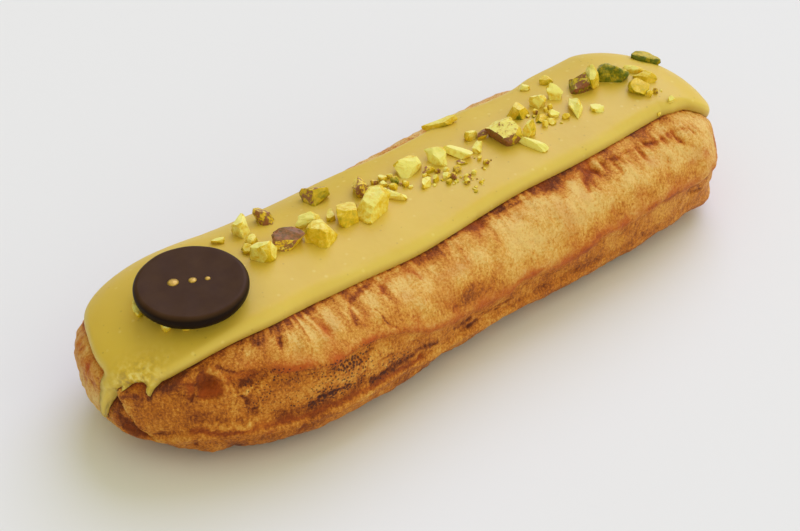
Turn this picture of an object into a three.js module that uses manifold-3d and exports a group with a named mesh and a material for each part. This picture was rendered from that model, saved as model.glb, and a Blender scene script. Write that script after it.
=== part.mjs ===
// Pistachio eclair: a solid choux pastry, its icing with chopped pistachios, and a chocolate disc.
// Millimetres. +X runs along the pastry, from the end with the disc to the plain end, and +Z is up.
// The origin is on the floor, under the middle of the whole.
//
// A point of the crust is found by its lap and its climb. The lap goes once round the pastry:
// 0 to 1 along the front (-Y) side, 1 to 2 round the plain end, 2 to 3 back along the +Y side,
// and 3 to 4 round the disc end. The climb is an angle: 90 on the top line, 0 where the pastry
// is widest, and -90 under it.

import * as THREE from 'three';
import { mergeVertices } from 'three/addons/utils/BufferGeometryUtils.js';
import Module from 'manifold-3d';

// Choux pastry: length, rounded ends, and half widths and crown heights at even steps along it
const LENGTH = 150;
const DISC_END_LENGTH = 35.8;
const PLAIN_END_LENGTH = 16.7;
const DISC_END_LEAN = 5.6;
const PLAIN_END_LEAN = -1.7;
const DISC_END_SQUARENESS = 2.26;
const PLAIN_END_SQUARENESS = 2.0;
const FRONT_HALF_WIDTHS = [23.6, 23.6, 24.1, 24.6, 23.7, 22.8, 22.7, 23.3, 23.2, 22.4, 22.7];
const BACK_HALF_WIDTHS = [24.3, 24.5, 23.7, 22.4, 21.8, 23.0, 24.0, 23.7, 22.6, 21.4, 20.4];
const CROWN_HEIGHTS = [27.0, 27.0, 26.5, 26.8, 26.9, 26.5, 26.5];
const WAIST_HEIGHT = 11.0;
const TOP_SQUARENESS = 2.7;
const BASE_SQUARENESS = 2.5;
const BASE_CUT = 1.0;
const BASE_EDGE_CLIMB = -64;
const MM_PER_DEGREE = 0.28;
const MM_PER_LAP = [97.5, 60, 97.5, 95];

// Crust relief, in millimetres, inside and outside the smooth form
const RELIEF_BASE = -0.45;
const BULGE = 0.7;
const BAND_DEPTH = 0.5;
const CRACK_DEPTH = 0.6;
const FOOT_ROLL = 0.4;
const LUMP = 0.3;
const VALLEY_DEPTH = 2.2;
// A tear in the crust: its place, how far it opens to its left, to its right and up, and its depth
const CRATER = { lap: 3.764, climb: 28, left: 1.1, right: 2.4, up: 2.2, depth: 1.8 };

// The long ridge on the side, and the cracked line above the foot: lap and climb
const RIDGE_LINE = [
  [0.0, 26], [0.06, 29.5], [0.11, 28], [0.17, 22], [0.23, 11], [0.3, 7], [0.45, 3.5], [0.49, 7.5],
  [0.6, 4], [0.66, 5], [0.71, 9], [0.8, 7.5], [0.9, 9], [1.0, 6], [1.1, 8], [1.3, 2], [1.8, 4], [2.2, 8],
  [2.6, 4], [3.0, 9], [3.35, 4], [3.62, 14], [3.71, 29], [3.81, 38], [3.87, 37], [3.94, 31.5],
];
// How far the ridge stands out
const RIDGE_RISE = [[0.0, 0.9], [3.05, 0.9], [3.3, 0.3], [3.6, 0.3], [3.7, 0.8]];
const CRACK_LINE = [
  [0.0, -1], [0.11, 1.5], [0.17, -0.5], [0.23, -5.5], [0.35, -7], [0.43, -11], [0.7, -14], [1.0, -14],
  [1.4, -18], [2.0, -12], [2.5, -15], [3.0, -10], [3.4, -16], [3.67, -9], [3.75, 3], [3.82, 3.7], [3.9, 1],
];

// How far that crack is open
const CRACK_OPEN = [
  [0.0, 1], [0.4, 1], [0.6, 0.6], [0.8, 0.3], [1.05, 0.12], [1.7, 0.2], [2.2, 0.7], [3.0, 1], [3.3, 0.3],
  [3.6, 0.3], [3.68, 1],
];

// How far the foot of the pastry reaches out
const FOOT_REACH = [
  [0.0, 0.1], [0.03, -0.2], [0.09, -0.1], [0.15, 0.45], [0.2, 0.65], [0.25, 0.25], [0.29, -0.1], [0.35, 0.8],
  [0.39, 0.65], [0.43, 0.1], [0.51, 0.1], [0.57, 0.9], [0.63, 0.75], [0.7, 0.5], [0.79, 0.7], [0.82, 1.2],
  [0.86, 1.1], [0.9, 0.4], [0.95, 0.45], [0.98, 0.0], [1.02, -0.3], [1.08, 0.1], [1.14, 0.9], [1.3, 0.7],
  [2.0, 0.3], [2.4, 0.1], [2.7, 0.5], [3.1, 0.2], [3.5, 0.1], [3.59, -0.2], [3.63, -0.6], [3.66, -0.3],
  [3.69, 0.4], [3.74, 0.6], [3.77, 1.1], [3.81, -0.2], [3.85, 0.4], [3.93, 0.7], [3.97, 0.6],
];

// Short folds where the dough stretched under the icing: lap, climb, depth, half width, half height
const FOLDS = [
  [0.016, 48, 0.6, 1.0, 1.9], [0.098, 52, 0.4, 0.9, 2.6], [0.172, 52, 0.5, 0.9, 2.0],
  [0.3, 53, 0.3, 1.2, 1.2], [0.455, 57, 0.45, 0.9, 1.8], [0.56, 56, 0.3, 1.0, 1.4],
  [0.632, 57, 0.45, 1.0, 1.5], [0.684, 57.5, 0.4, 1.3, 1.2], [0.72, 50, 0.35, 0.8, 1.3],
  [0.76, 56, 0.8, 1.0, 2.0], [0.786, 56, 0.5, 0.8, 1.4], [0.812, 54, 0.45, 0.8, 1.7],
  [0.852, 53, 0.5, 0.8, 1.7], [0.886, 51, 0.55, 0.8, 1.9], [0.928, 51, 0.5, 0.8, 1.6],
  [0.954, 49.5, 0.45, 0.7, 1.5], [0.99, 47.5, 0.5, 0.8, 1.6], [1.083, 43.5, 0.5, 0.8, 1.6],
  [0.866, 44, 0.3, 0.8, 1.1], [0.938, 34, 0.3, 0.8, 1.1], [3.92, 50, 0.4, 0.8, 1.6],
  [1.5, 8, 0.4, 1.0, 2.4], [2.15, 34, 0.5, 1.1, 2.6], [2.28, 30, 0.4, 1.0, 2.0],
  [2.44, 33, 0.6, 1.2, 2.6], [2.7, 27, 0.5, 1.0, 2.4], [2.86, 24, 0.5, 1.1, 2.2], [3.12, 16, 0.4, 0.9, 2.0],
];

// The fold of the disc end: a recess on its left, which stops at this line
const CHEEK_LINE = [
  [-20, 3.665], [-15, 3.645], [-6.6, 3.626], [0, 3.61], [3, 3.595], [7.4, 3.581], [13, 3.574], [20, 3.568],
  [30, 3.55],
];

// Raised blisters: lap, climb, height, half length and half height
const BLISTERS = [[2.26, 47, 0.4, 9, 4.0], [2.51, 47, 0.4, 13, 4.0]];

// Icing: its thickness, the gap under it, and the climb of its edge round the pastry
const ICING_THICKNESS = 2.0;
const GAP = 0.3;
const EDGE_ROUNDING = 3.0;
const ICING_EDGE = [
  [0.0, 66.5], [0.14, 65], [0.29, 60.3], [0.4, 60.9], [0.57, 63.8], [0.74, 63.6], [0.93, 65], [1.02, 65],
  [1.16, 60], [1.22, 54], [1.25, 48], [1.275, 33], [1.31, 24], [1.4, 21], [1.5, 21], [1.7, 24],
  [1.85, 34], [2.0, 42], [2.12, 46], [2.2, 57], [2.31, 57], [2.35, 53], [2.4, 57], [2.6, 57],
  [2.68, 46], [2.75, 38], [2.85, 38], [3.0, 36],
  [3.14, 29], [3.26, 23], [3.37, 27], [3.43, 26], [3.47, 24], [3.5, 22], [3.54, 20.5], [3.6, 21],
  [3.64, 24], [3.662, 29.4], [3.695, 37], [3.73, 45], [3.77, 51.6], [3.817, 56.8], [3.873, 60.3],
  [3.933, 63.2],
];

// How far the edge hangs under that line: a drip and a ragged tooth with a gap between them
const ICING_DROP = [
  [0.0, 0], [3.512, 0], [3.52, 1.5], [3.526, 5], [3.531, 11], [3.535, 19], [3.539, 27], [3.543, 32.5],
  [3.547, 34.5], [3.551, 33], [3.555, 27.5], [3.56, 18], [3.565, 9.5], [3.57, 4], [3.577, 0.5],
  [3.587, 3.5], [3.592, -1], [3.602, -3.5], [3.62, -3.5], [3.632, 0], [3.643, 4.5], [3.651, 8.5],
  [3.655, 4], [3.662, 0],
];
const DRIP_THICKNESS = 1.1;
// The drip runs down aslant: where, how far along and how much
const DRIP_LEAN = { lap: 3.545, reach: 0.1, most: 0.04 };

// Chocolate disc
const DISC_RADIUS = 10.9;
const DISC_THICKNESS = 3.5;
const DISC_ROUNDING = 1.2;
const DISC_CENTRE = [-54.5, 0.9, 30.85];
const DISC_TILT = 2;
const DISC_SIDES = 40;

// Chopped pistachios: place of the middle, length, width, height and turn
const NUT_SINK = { share: 0.3, least: 0.45, most: 1.1 };
const LARGE_NUT = 3.9;
const NUTS = [
  [-40.4, 11.9, 3.4, 1.6, 1.5, -40], [-34.6, 11.6, 5.2, 3.4, 4.2, 50], [-29.2, 11.9, 4.2, 3.4, 4.4, 75],
  [-35.8, 6.8, 2.6, 2.1, 2.1, 10], [-37.9, 4.85, 2.6, 2.3, 2.2, -20], [-37.0, 1.6, 4.6, 3.6, 5.0, -25],
  [-31.0, 1.7, 6.0, 4.2, 4.2, -35], [-24.2, 4.2, 5.2, 3.0, 3.2, -40], [-25.0, -1.2, 6.4, 5.4, 4.6, 20],
  [-19.4, 3.1, 2.5, 2.1, 2.2, 30], [-17.3, 10.4, 5.6, 3.8, 4.4, -75], [-17.1, 0.5, 5.4, 4.8, 4.2, 5],
  [-9.4, 6.1, 4.4, 3.0, 3.8, 55], [-12.0, -0.7, 7.6, 6.0, 5.4, 20], [-3.8, 5.9, 2.2, 1.7, 1.6, 15],
  [-5.1, 4.1, 1.9, 1.6, 1.5, -50], [-2.6, 3.7, 2.0, 1.6, 1.7, 80], [-5.8, 6.1, 1.6, 1.4, 1.2, 0],
  [-5.6, -0.2, 4.3, 2.2, 1.9, -60], [2.0, 4.6, 6.8, 3.9, 3.7, -10], [8.6, 3.5, 5.6, 3.9, 3.4, -65],
  [4.9, 1.8, 2.6, 1.7, 1.5, 10], [1.7, -1.3, 2.7, 2.2, 1.9, 20], [6.2, -2.0, 1.9, 1.6, 1.4, 0],
  [9.2, -1.8, 2.1, 1.8, 1.6, 40], [11.6, -0.4, 2.2, 1.4, 1.1, -40], [13.2, 1.8, 6.3, 2.7, 2.6, -60],
  [17.2, 0.8, 2.9, 2.1, 2.3, 20], [18.9, 4.8, 2.5, 2.3, 2.6, 0], [18.0, 14.1, 8.2, 2.1, 1.9, -41],
  [20.9, 3.6, 2.7, 2.3, 2.0, -10], [24.0, 0.1, 7.0, 5.4, 5.2, -20], [28.6, -2.2, 3.2, 2.2, 4.6, 20],
  [26.8, -5.2, 6.0, 2.5, 2.6, -70], [32.0, 4.7, 4.6, 3.6, 4.0, -55], [37.8, 4.7, 3.6, 3.4, 3.6, 10],
  [42.5, 4.5, 4.1, 3.0, 3.8, -60], [45.6, 10.6, 2.6, 2.2, 2.0, -20], [37.2, -0.6, 2.9, 2.2, 1.9, -30],
  [34.6, 0.2, 3.0, 2.0, 1.3, 0], [35.1, -1.8, 2.1, 1.7, 1.2, -40], [42.3, -1.4, 6.0, 2.6, 2.8, 63],
  [45.9, -4.4, 3.1, 1.8, 1.6, -50], [48.4, 3.3, 4.2, 4.2, 4.4, 0], [51.4, 2.8, 4.4, 2.6, 5.2, 60],
  [56.7, 2.0, 6.0, 4.3, 4.4, -30], [61.6, 1.1, 5.2, 1.8, 1.8, -55], [61.6, -3.0, 4.4, 2.8, 2.6, -60],
  [57.7, -5.0, 3.9, 3.7, 3.4, 0], [69.0, 3.9, 5.4, 2.8, 2.8, -50], [40.5, 12.0, 2.4, 2.1, 1.7, 70],
];
// Scraps that prop up the disc: place, length, width and turn
const PROPS = [[-62.8, 6.6, 3.6, 2.0, 50], [-62.2, -1.2, 2.0, 1.6, -30], [-59.2, -3.9, 2.0, 1.6, 10]];
// Heaps of crumbs: place, width and count
const CRUMB_HEAPS = [
  [-4.2, 3.4, 6.5, 5], [7.4, -1.8, 6, 5], [2.6, -0.4, 4, 2], [9.6, -6.4, 4, 2], [35.8, 0.2, 6, 5],
  [59.6, -8.6, 5.5, 3], [17, -1.2, 6, 2],
];
const CRUMBS = { smallest: 0.9, largest: 1.5, clear: 0.5 };

const wasm = await Module();
wasm.setup();

const radians = THREE.MathUtils.degToRad;

function clamp(value, low, high) {
  return Math.min(Math.max(value, low), high);
}

function step(value, low, high) {
  const share = clamp((value - low) / (high - low), 0, 1);
  return share * share * (3 - 2 * share);
}

function bell(value, width) {
  return Math.exp(-((value / width) ** 2));
}

function random(seed) {
  const wave = Math.sin(seed * 12.9898 + 4.1414) * 43758.5453;
  return wave - Math.floor(wave);
}

// A smooth curve through values at even steps along the pastry
function along(values, x) {
  const place = clamp((x + LENGTH / 2) / LENGTH, 0, 1) * (values.length - 1);
  const i = Math.min(Math.floor(place), values.length - 2);
  const u = place - i;
  const b = values[i];
  const c = values[i + 1];
  const a = i > 0 ? values[i - 1] : 2 * b - c;
  const d = i < values.length - 2 ? values[i + 2] : 2 * c - b;
  const slope = c - a;
  const bend = 2 * a - 5 * b + 4 * c - d;
  const twist = 3 * b - a - 3 * c + d;
  return b + 0.5 * (slope * u + bend * u ** 2 + twist * u ** 3);
}

// The value on a line of [place, value] pairs, smoothed between them, which closes on itself after span
function onLine(line, place, span) {
  const n = line.length;
  let i = n - 1;
  while (i > 0 && line[i][0] > place) i -= 1;
  const from = line[i];
  const to = i + 1 < n ? line[i + 1] : [line[0][0] + span, line[0][1]];
  const share = (place - from[0]) / (to[0] - from[0]);
  return from[1] + (to[1] - from[1]) * clamp(share, 0, 1);
}

function wrapLap(lap) {
  return ((lap % 4) + 4) % 4;
}

// The spine point inside the pastry and the widest point outside it, for a lap
function planAt(lap) {
  const side = Math.floor(wrapLap(lap));
  const u = wrapLap(lap) - side;
  const discX = -LENGTH / 2 + DISC_END_LENGTH;
  const plainX = LENGTH / 2 - PLAIN_END_LENGTH;
  if (side === 0 || side === 2) {
    const x = side === 0 ? discX + (plainX - discX) * u : plainX + (discX - plainX) * u;
    const y = side === 0 ? -along(FRONT_HALF_WIDTHS, x) : along(BACK_HALF_WIDTHS, x);
    return { spineX: x, rimX: x, rimY: y };
  }
  const plain = side === 1;
  const power = 2 / (plain ? PLAIN_END_SQUARENESS : DISC_END_SQUARENESS);
  const reach = Math.sin(u * Math.PI);
  const across = Math.cos(u * Math.PI) * (plain ? -1 : 1);
  const spineX = plain ? plainX : discX;
  const rimX = spineX + (plain ? PLAIN_END_LENGTH : -DISC_END_LENGTH) * Math.abs(reach) ** power;
  const half = across < 0 ? along(FRONT_HALF_WIDTHS, rimX) : along(BACK_HALF_WIDTHS, rimX);
  const lean = (plain ? PLAIN_END_LEAN : DISC_END_LEAN) * reach;
  return { spineX, rimX, rimY: lean + Math.sign(across) * Math.abs(across) ** power * half };
}

// The climb of the icing's edge: evened out, and with its drip and tooth
function evenEdge(lap) {
  const nearby = [-0.036, -0.018, 0, 0.018, 0.036];
  return nearby.reduce((sum, away) => sum + onLine(ICING_EDGE, wrapLap(lap + away), 4), 0) / nearby.length;
}

function icingEdge(lap) {
  return evenEdge(lap) - onLine(ICING_DROP, wrapLap(lap), 4);
}

const edgeSamples = [];
for (let lap = 0; lap < 4; lap += 0.004) edgeSamples.push([lap, icingEdge(lap)]);

// How far inside the icing's edge a point is, in millimetres along the crust
function insideEdge(lap, climb) {
  let nearest = EDGE_ROUNDING;
  for (const [edgeLap, edgeClimb] of edgeSamples) {
    const away = Math.abs(edgeLap - wrapLap(lap));
    const across = Math.min(away, 4 - away) * MM_PER_LAP[Math.floor(edgeLap)];
    const up = (climb - edgeClimb) * MM_PER_DEGREE;
    nearest = Math.min(nearest, Math.hypot(across, up));
  }
  return nearest;
}

function cheek(lap, climb) {
  const past = (onLine(CHEEK_LINE, climb, 1) - lap) * MM_PER_LAP[3];
  const open = step(climb, -20, -12) * (1 - step(climb, 12, 20));
  return -VALLEY_DEPTH * step(past, 0, 0.9) * Math.exp(-((Math.max(past, 0) / 4.2) ** 2)) * open;
}

// The height at a place of a list of rounded marks: lap, climb, height, half width and half height
function marks(list, place, climb) {
  let height = 0;
  for (const [markLap, markClimb, markHeight, halfWidth, halfHeight] of list) {
    const away = Math.abs(place - markLap);
    const across = Math.min(away, 4 - away) * MM_PER_LAP[Math.floor(place)];
    const up = (climb - markClimb) * MM_PER_DEGREE;
    height += markHeight * bell(across, halfWidth) * bell(up, halfHeight);
  }
  return height;
}

// The way from the middle of the tear in the crust, 1 where it is about to end
function craterWay(lap, climb) {
  const across = (lap - CRATER.lap) * MM_PER_LAP[3];
  const up = (climb - CRATER.climb) * MM_PER_DEGREE + 0.35 * across;
  return Math.hypot(across / (across < 0 ? CRATER.left : CRATER.right), up / CRATER.up);
}

// What the crust stands proud of its smooth form, in millimetres
function relief(lap, climb) {
  const place = wrapLap(lap);
  const edge = evenEdge(place);
  const ridge = Math.min(onLine(RIDGE_LINE, place, 4), edge - 5);
  const crack = Math.min(onLine(CRACK_LINE, place, 4), ridge - 5);
  const overRidge = (climb - ridge) * MM_PER_DEGREE;
  const overCrack = (climb - crack) * MM_PER_DEGREE;
  let proud = RELIEF_BASE + BULGE * Math.sin(Math.PI * clamp((edge - climb) / (edge - ridge), 0, 1));
  proud += onLine(RIDGE_RISE, place, 4) * bell(overRidge, overRidge > 0 ? 2.2 : 1.0);
  const open = onLine(CRACK_OPEN, place, 4);
  proud -= BAND_DEPTH * open * step(overCrack, 0, 1.2) * (1 - step(overRidge, -2.0, 0));
  proud += open * (FOOT_ROLL * bell(overCrack + 2.2, 1.4) - CRACK_DEPTH * bell(overCrack, 0.8));
  const turn = place * Math.PI / 2;
  proud += LUMP * Math.sin(13 * turn + climb * 0.11) * Math.cos(5 * turn - climb * 0.07 + 1);
  proud -= marks(FOLDS, place, climb);
  if (place > 3) {
    const away = craterWay(place, climb);
    proud += cheek(place, climb) + 0.3 * bell(away - 1.6, 0.4) - CRATER.depth * bell(away, 0.9);
  }
  proud *= step(climb, BASE_EDGE_CLIMB, -38) * (1 - step((climb - edge) * MM_PER_DEGREE, 0.3, 3));
  proud += onLine(FOOT_REACH, place, 4) * (1 - step(climb, -30, -4));
  return proud + marks(BLISTERS, place, climb);
}

// A point of the crust, or lift millimetres outside it
function crustPoint(lap, climb, lift = 0) {
  const pull = DRIP_LEAN.most * bell(lap - DRIP_LEAN.lap, DRIP_LEAN.reach);
  const leaning = lap - pull * (1 - step(climb, -20, 26));
  const { spineX, rimX, rimY } = planAt(leaning);
  const angle = radians(climb);
  const power = 2 / (climb > 0 ? TOP_SQUARENESS : BASE_SQUARENESS);
  const out = climb === 90 || climb === -90 ? 0 : Math.abs(Math.cos(angle)) ** power;
  const rise = Math.abs(Math.sin(angle)) ** power;
  const x = spineX + (rimX - spineX) * out;
  const above = (along(CROWN_HEIGHTS, x) - WAIST_HEIGHT) * rise;
  const z = climb > 0 ? above : -(WAIST_HEIGHT + BASE_CUT) * rise;
  const ray = new THREE.Vector3(x - spineX, rimY * out, z);
  ray.setLength(ray.length() + relief(leaning, climb) + lift);
  return new THREE.Vector3(spineX + ray.x, ray.y, Math.max(WAIST_HEIGHT + ray.z, 0));
}

// The climb that lies a share of the way, in plan, from the top line to the evened edge or an inset from it
function climbAt(lap, share, inset = 0) {
  if (share === 0) return 90;
  const power = 2 / TOP_SQUARENESS;
  const edge = Math.min(evenEdge(lap) + inset / MM_PER_DEGREE, 89);
  const out = Math.cos(radians(edge)) ** power * share;
  return THREE.MathUtils.radToDeg(Math.acos(out ** (1 / power)));
}

// Laps of the columns: at the drip and the tooth they are those of the drop's line
function spread(from, to, count) {
  return Array.from({ length: count }, (_, i) => from + ((to - from) * i) / count);
}
const LAPS = [
  ...spread(0, 1, 32), ...spread(1, 2, 20), ...spread(2, 3, 32),
  ...spread(3, 3.512, 12), ...ICING_DROP.slice(1).map(([lap]) => lap), ...spread(3.68, 4, 9),
];

// The triangles between rings that go once round the pastry, facing out from the top down
function wall(rings) {
  const triangles = [];
  for (let r = 0; r + 1 < rings.length; r += 1) {
    const upper = rings[r];
    const lower = rings[r + 1];
    for (let c = 0; c < upper.length; c += 1) {
      const next = (c + 1) % upper.length;
      triangles.push([upper[c], lower[c], lower[next]], [upper[c], lower[next], upper[next]]);
    }
  }
  return triangles;
}

// Points nearer than this are one point
const MERGE = 1e-3;

function closedGeometry(triangles) {
  const points = [];
  const places = new Map();
  const indices = [];
  for (const triangle of triangles) {
    const corners = triangle.map((point) => {
      const key = [point.x, point.y, point.z].map((value) => Math.round(value / MERGE)).join(' ');
      if (!places.has(key)) {
        places.set(key, points.length / 3);
        points.push(point.x, point.y, point.z);
      }
      return places.get(key);
    });
    if (new Set(corners).size === 3) indices.push(...corners);
  }
  const geometry = new THREE.BufferGeometry();
  geometry.setAttribute('position', new THREE.Float32BufferAttribute(points, 3));
  geometry.setIndex(indices);
  return geometry;
}

function toSolid(geometry, matrix = new THREE.Matrix4()) {
  const bare = geometry.clone().applyMatrix4(matrix);
  bare.deleteAttribute('normal');
  bare.deleteAttribute('uv');
  const merged = mergeVertices(bare, MERGE);
  return new wasm.Manifold(new wasm.Mesh({
    numProp: 3,
    vertProperties: new Float32Array(merged.getAttribute('position').array),
    triVerts: new Uint32Array(merged.getIndex().array),
  }));
}

function fromSolid(solid) {
  const mesh = solid.getMesh();
  const geometry = new THREE.BufferGeometry();
  geometry.setAttribute('position', new THREE.BufferAttribute(mesh.vertProperties, 3));
  geometry.setIndex(new THREE.BufferAttribute(mesh.triVerts, 1));
  return geometry;
}

// The rings that the pastry and the underside of its icing share
function topRings(lift) {
  const rings = [0, 0.28, 0.52, 0.74, 0.9].map((share) => LAPS.map((lap) => climbAt(lap, share)));
  rings.push(LAPS.map((lap) => (climbAt(lap, 0.94) + icingEdge(lap)) / 2));
  rings.push(LAPS.map((lap) => icingEdge(lap)));
  return rings.map((ring) => ring.map((climb, i) => crustPoint(LAPS[i], climb, lift)));
}

function chouxGeometry() {
  const rings = topRings(0);
  const edge = (lap) => icingEdge(lap);
  const ridge = (lap) => Math.min(onLine(RIDGE_LINE, wrapLap(lap), 4), edge(lap) - 5);
  const crack = (lap) => Math.min(onLine(CRACK_LINE, wrapLap(lap), 4), ridge(lap) - 5);
  const foot = () => BASE_EDGE_CLIMB;
  const addBetween = (from, to, shares) => shares.forEach((share) => {
    rings.push(LAPS.map((lap) => crustPoint(lap, from(lap) + (to(lap) - from(lap)) * share)));
  });
  addBetween(edge, ridge, [0.1, 0.24, 0.42, 0.62, 0.82, 1]);
  addBetween(ridge, crack, [0.35, 1]);
  addBetween(crack, foot, [0.2, 0.55, 1]);
  rings.push(LAPS.map((lap) => new THREE.Vector3(planAt(lap).spineX, 0, 0)));
  return closedGeometry(wall(rings));
}

// The icing's thickness at a point, rounded off at its edge and thinner where it hangs down
function icingLift(lap, climb) {
  const share = clamp(insideEdge(lap, climb) / EDGE_ROUNDING, 0, 1);
  const hanging = step(evenEdge(lap) - climb, -6, 6);
  const full = ICING_THICKNESS + (DRIP_THICKNESS - ICING_THICKNESS) * hanging;
  return GAP + full * Math.sqrt(1 - (1 - share) ** 2);
}

function icingGeometry() {
  const climbs = [0, 0.3, 0.58, 0.82, 1].map((share) => {
    return LAPS.map((lap) => climbAt(lap, share, EDGE_ROUNDING));
  });
  for (const [share, inside] of [[0.35, 1.7], [0.75, 0.8], [1, 0.22]]) {
    climbs.push(LAPS.map((lap) => {
      const from = climbAt(lap, 1, EDGE_ROUNDING);
      const drip = from - EDGE_ROUNDING / MM_PER_DEGREE - icingEdge(lap);
      return from - (EDGE_ROUNDING - inside) / MM_PER_DEGREE - drip * share;
    }));
  }
  const over = climbs.map((ring) => ring.map((climb, i) => {
    return crustPoint(LAPS[i], climb, icingLift(LAPS[i], climb));
  }));
  const under = topRings(GAP);
  const lip = wall([over.at(-1), under.at(-1)]);
  const underside = wall(under).map((triangle) => triangle.reverse());
  return closedGeometry([...wall(over), ...lip, ...underside]);
}

function discGeometry() {
  const half = DISC_THICKNESS / 2;
  const corner = DISC_ROUNDING;
  const profile = [new THREE.Vector2(0, -half)];
  for (const side of [-1, 1]) {
    for (let i = 0; i <= 3; i += 1) {
      const turn = (Math.PI / 2) * (side < 0 ? i / 3 : 1 - i / 3);
      const x = DISC_RADIUS - corner + corner * Math.sin(turn);
      profile.push(new THREE.Vector2(x, side * (half - corner + corner * Math.cos(turn))));
    }
  }
  profile.push(new THREE.Vector2(0, half));
  return new THREE.LatheGeometry(profile, DISC_SIDES).rotateX(Math.PI / 2);
}

// Where the bare icing is under a place in plan, and how it slopes there
const bareIcing = new THREE.Mesh(icingGeometry());
const down = new THREE.Raycaster();

function icingAt(x, y) {
  down.set(new THREE.Vector3(x, y, 100), new THREE.Vector3(0, 0, -1));
  const [{ point, face }] = down.intersectObject(bareIcing);
  return { top: point.z, normal: face.normal };
}

function sinkOf(height) {
  return clamp(height * NUT_SINK.share, NUT_SINK.least, NUT_SINK.most);
}

// An angular scrap of nut: a ball of few faces, squared off, uneven, and lying on the icing
function nutSolid([x, y, length, width, height, turn], seed) {
  const ball = mergeVertices(stripped(new THREE.IcosahedronGeometry(1, length > LARGE_NUT ? 1 : 0)), MERGE);
  const corners = ball.getAttribute('position');
  const size = new THREE.Vector3(length, width, height).multiplyScalar(0.5);
  for (let i = 0; i < corners.count; i += 1) {
    const corner = new THREE.Vector3().fromBufferAttribute(corners, i);
    const uneven = 0.94 + 0.2 * (random(seed * 61 + i) - 0.5);
    for (const axis of ['x', 'y', 'z']) {
      const part = corner[axis];
      corner[axis] = Math.sign(part) * Math.abs(part) ** 0.72 * uneven * size[axis];
    }
    corners.setXYZ(i, corner.x, corner.y, corner.z);
  }
  const tip = 12 * (random(seed + 0.3) - 0.5);
  const { top, normal } = icingAt(x, y);
  const leaning = new THREE.Quaternion().setFromUnitVectors(new THREE.Vector3(0, 0, 1), normal);
  const place = new THREE.Matrix4().makeTranslation(x, y, top + height / 2 - sinkOf(height));
  const lying = new THREE.Matrix4().makeRotationFromQuaternion(leaning);
  const tipped = new THREE.Matrix4().makeRotationX(radians(tip));
  const turned = new THREE.Matrix4().makeRotationZ(radians(turn));
  return toSolid(ball, place.multiply(lying).multiply(tipped).multiply(turned));
}

function stripped(geometry) {
  geometry.deleteAttribute('normal');
  geometry.deleteAttribute('uv');
  return geometry;
}

// The scraps under the disc reach up to just under it
function props() {
  return PROPS.map(([x, y, length, width, turn]) => {
    const slope = Math.tan(radians(DISC_TILT));
    const under = DISC_CENTRE[2] + (x - DISC_CENTRE[0]) * slope - DISC_THICKNESS / 2 - GAP;
    const room = under - icingAt(x, y).top;
    return [x, y, length, width, room / (1 - NUT_SINK.share), turn];
  });
}

// Crumbs lie in their heaps, beside the larger scraps
function crumbs() {
  const found = [];
  let wanted = 0;
  let seed = 1;
  for (const [heapX, heapY, spread, count] of CRUMB_HEAPS) {
    wanted += count;
    for (; found.length < wanted; seed += 1) {
      const x = heapX + spread * (random(seed * 3) - 0.5);
      const y = heapY + spread * (random(seed * 3 + 1) - 0.5);
      const size = CRUMBS.smallest + (CRUMBS.largest - CRUMBS.smallest) * random(seed * 3 + 0.5);
      const near = ([nutX, nutY, length]) => Math.hypot(nutX - x, nutY - y) < length / 2 + CRUMBS.clear;
      const crumb = [x, y, size * 1.3, size, size + NUT_SINK.least, 360 * random(seed)];
      if (![...NUTS, ...found].some(near)) found.push(crumb);
    }
  }
  return found;
}

const disc = new THREE.Mesh(
  discGeometry(),
  new THREE.MeshStandardMaterial({ color: '#3d2c24', roughness: 0.42, metalness: 0 }),
);
disc.name = 'chocolate_disc';
disc.position.set(...DISC_CENTRE);
disc.rotation.y = -radians(DISC_TILT);
disc.updateMatrix();

function icingWithNuts() {
  let solid = toSolid(bareIcing.geometry);
  [...NUTS, ...props(), ...crumbs()].forEach((nut, i) => {
    solid = solid.add(nutSolid(nut, i + 1));
  });
  return fromSolid(solid);
}

const choux = new THREE.Mesh(
  chouxGeometry(),
  new THREE.MeshStandardMaterial({ color: '#c98a45', roughness: 0.7, metalness: 0 }),
);
choux.name = 'choux_shell';

const icing = new THREE.Mesh(
  icingWithNuts(),
  new THREE.MeshStandardMaterial({ color: '#cdb562', roughness: 0.4, metalness: 0 }),
);
icing.name = 'pistachio_icing';

// The lean and the relief put the middle of the box a little off the origin, so the whole is moved back
const eclair = new THREE.Group();
eclair.add(choux, icing, disc);
const middle = new THREE.Box3().setFromObject(eclair).getCenter(new THREE.Vector3());
eclair.position.set(-middle.x, -middle.y, 0);

export default eclair;
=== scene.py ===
"""Pistachio eclair: the baked crust, icing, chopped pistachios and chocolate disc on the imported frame.

The pastry's form comes from the same named values as its solids, in millimetres. A place on the crust is a
lap and a climb. The lap goes once round the pastry, 0 to 1 along the front (-Y), 1 to 2 round the plain end,
2 to 3 along the back and 3 to 4 round the disc end. The climb is an angle, 90 on the top line, 0 at the
widest line and -90 under the base.
"""

import math
from functools import partial
from types import SimpleNamespace

import bmesh
import bpy
import numpy as np
from bpy.props import FloatProperty, FloatVectorProperty, IntProperty, PointerProperty
from mathutils import Matrix, Vector
from mathutils.bvhtree import BVHTree


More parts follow.
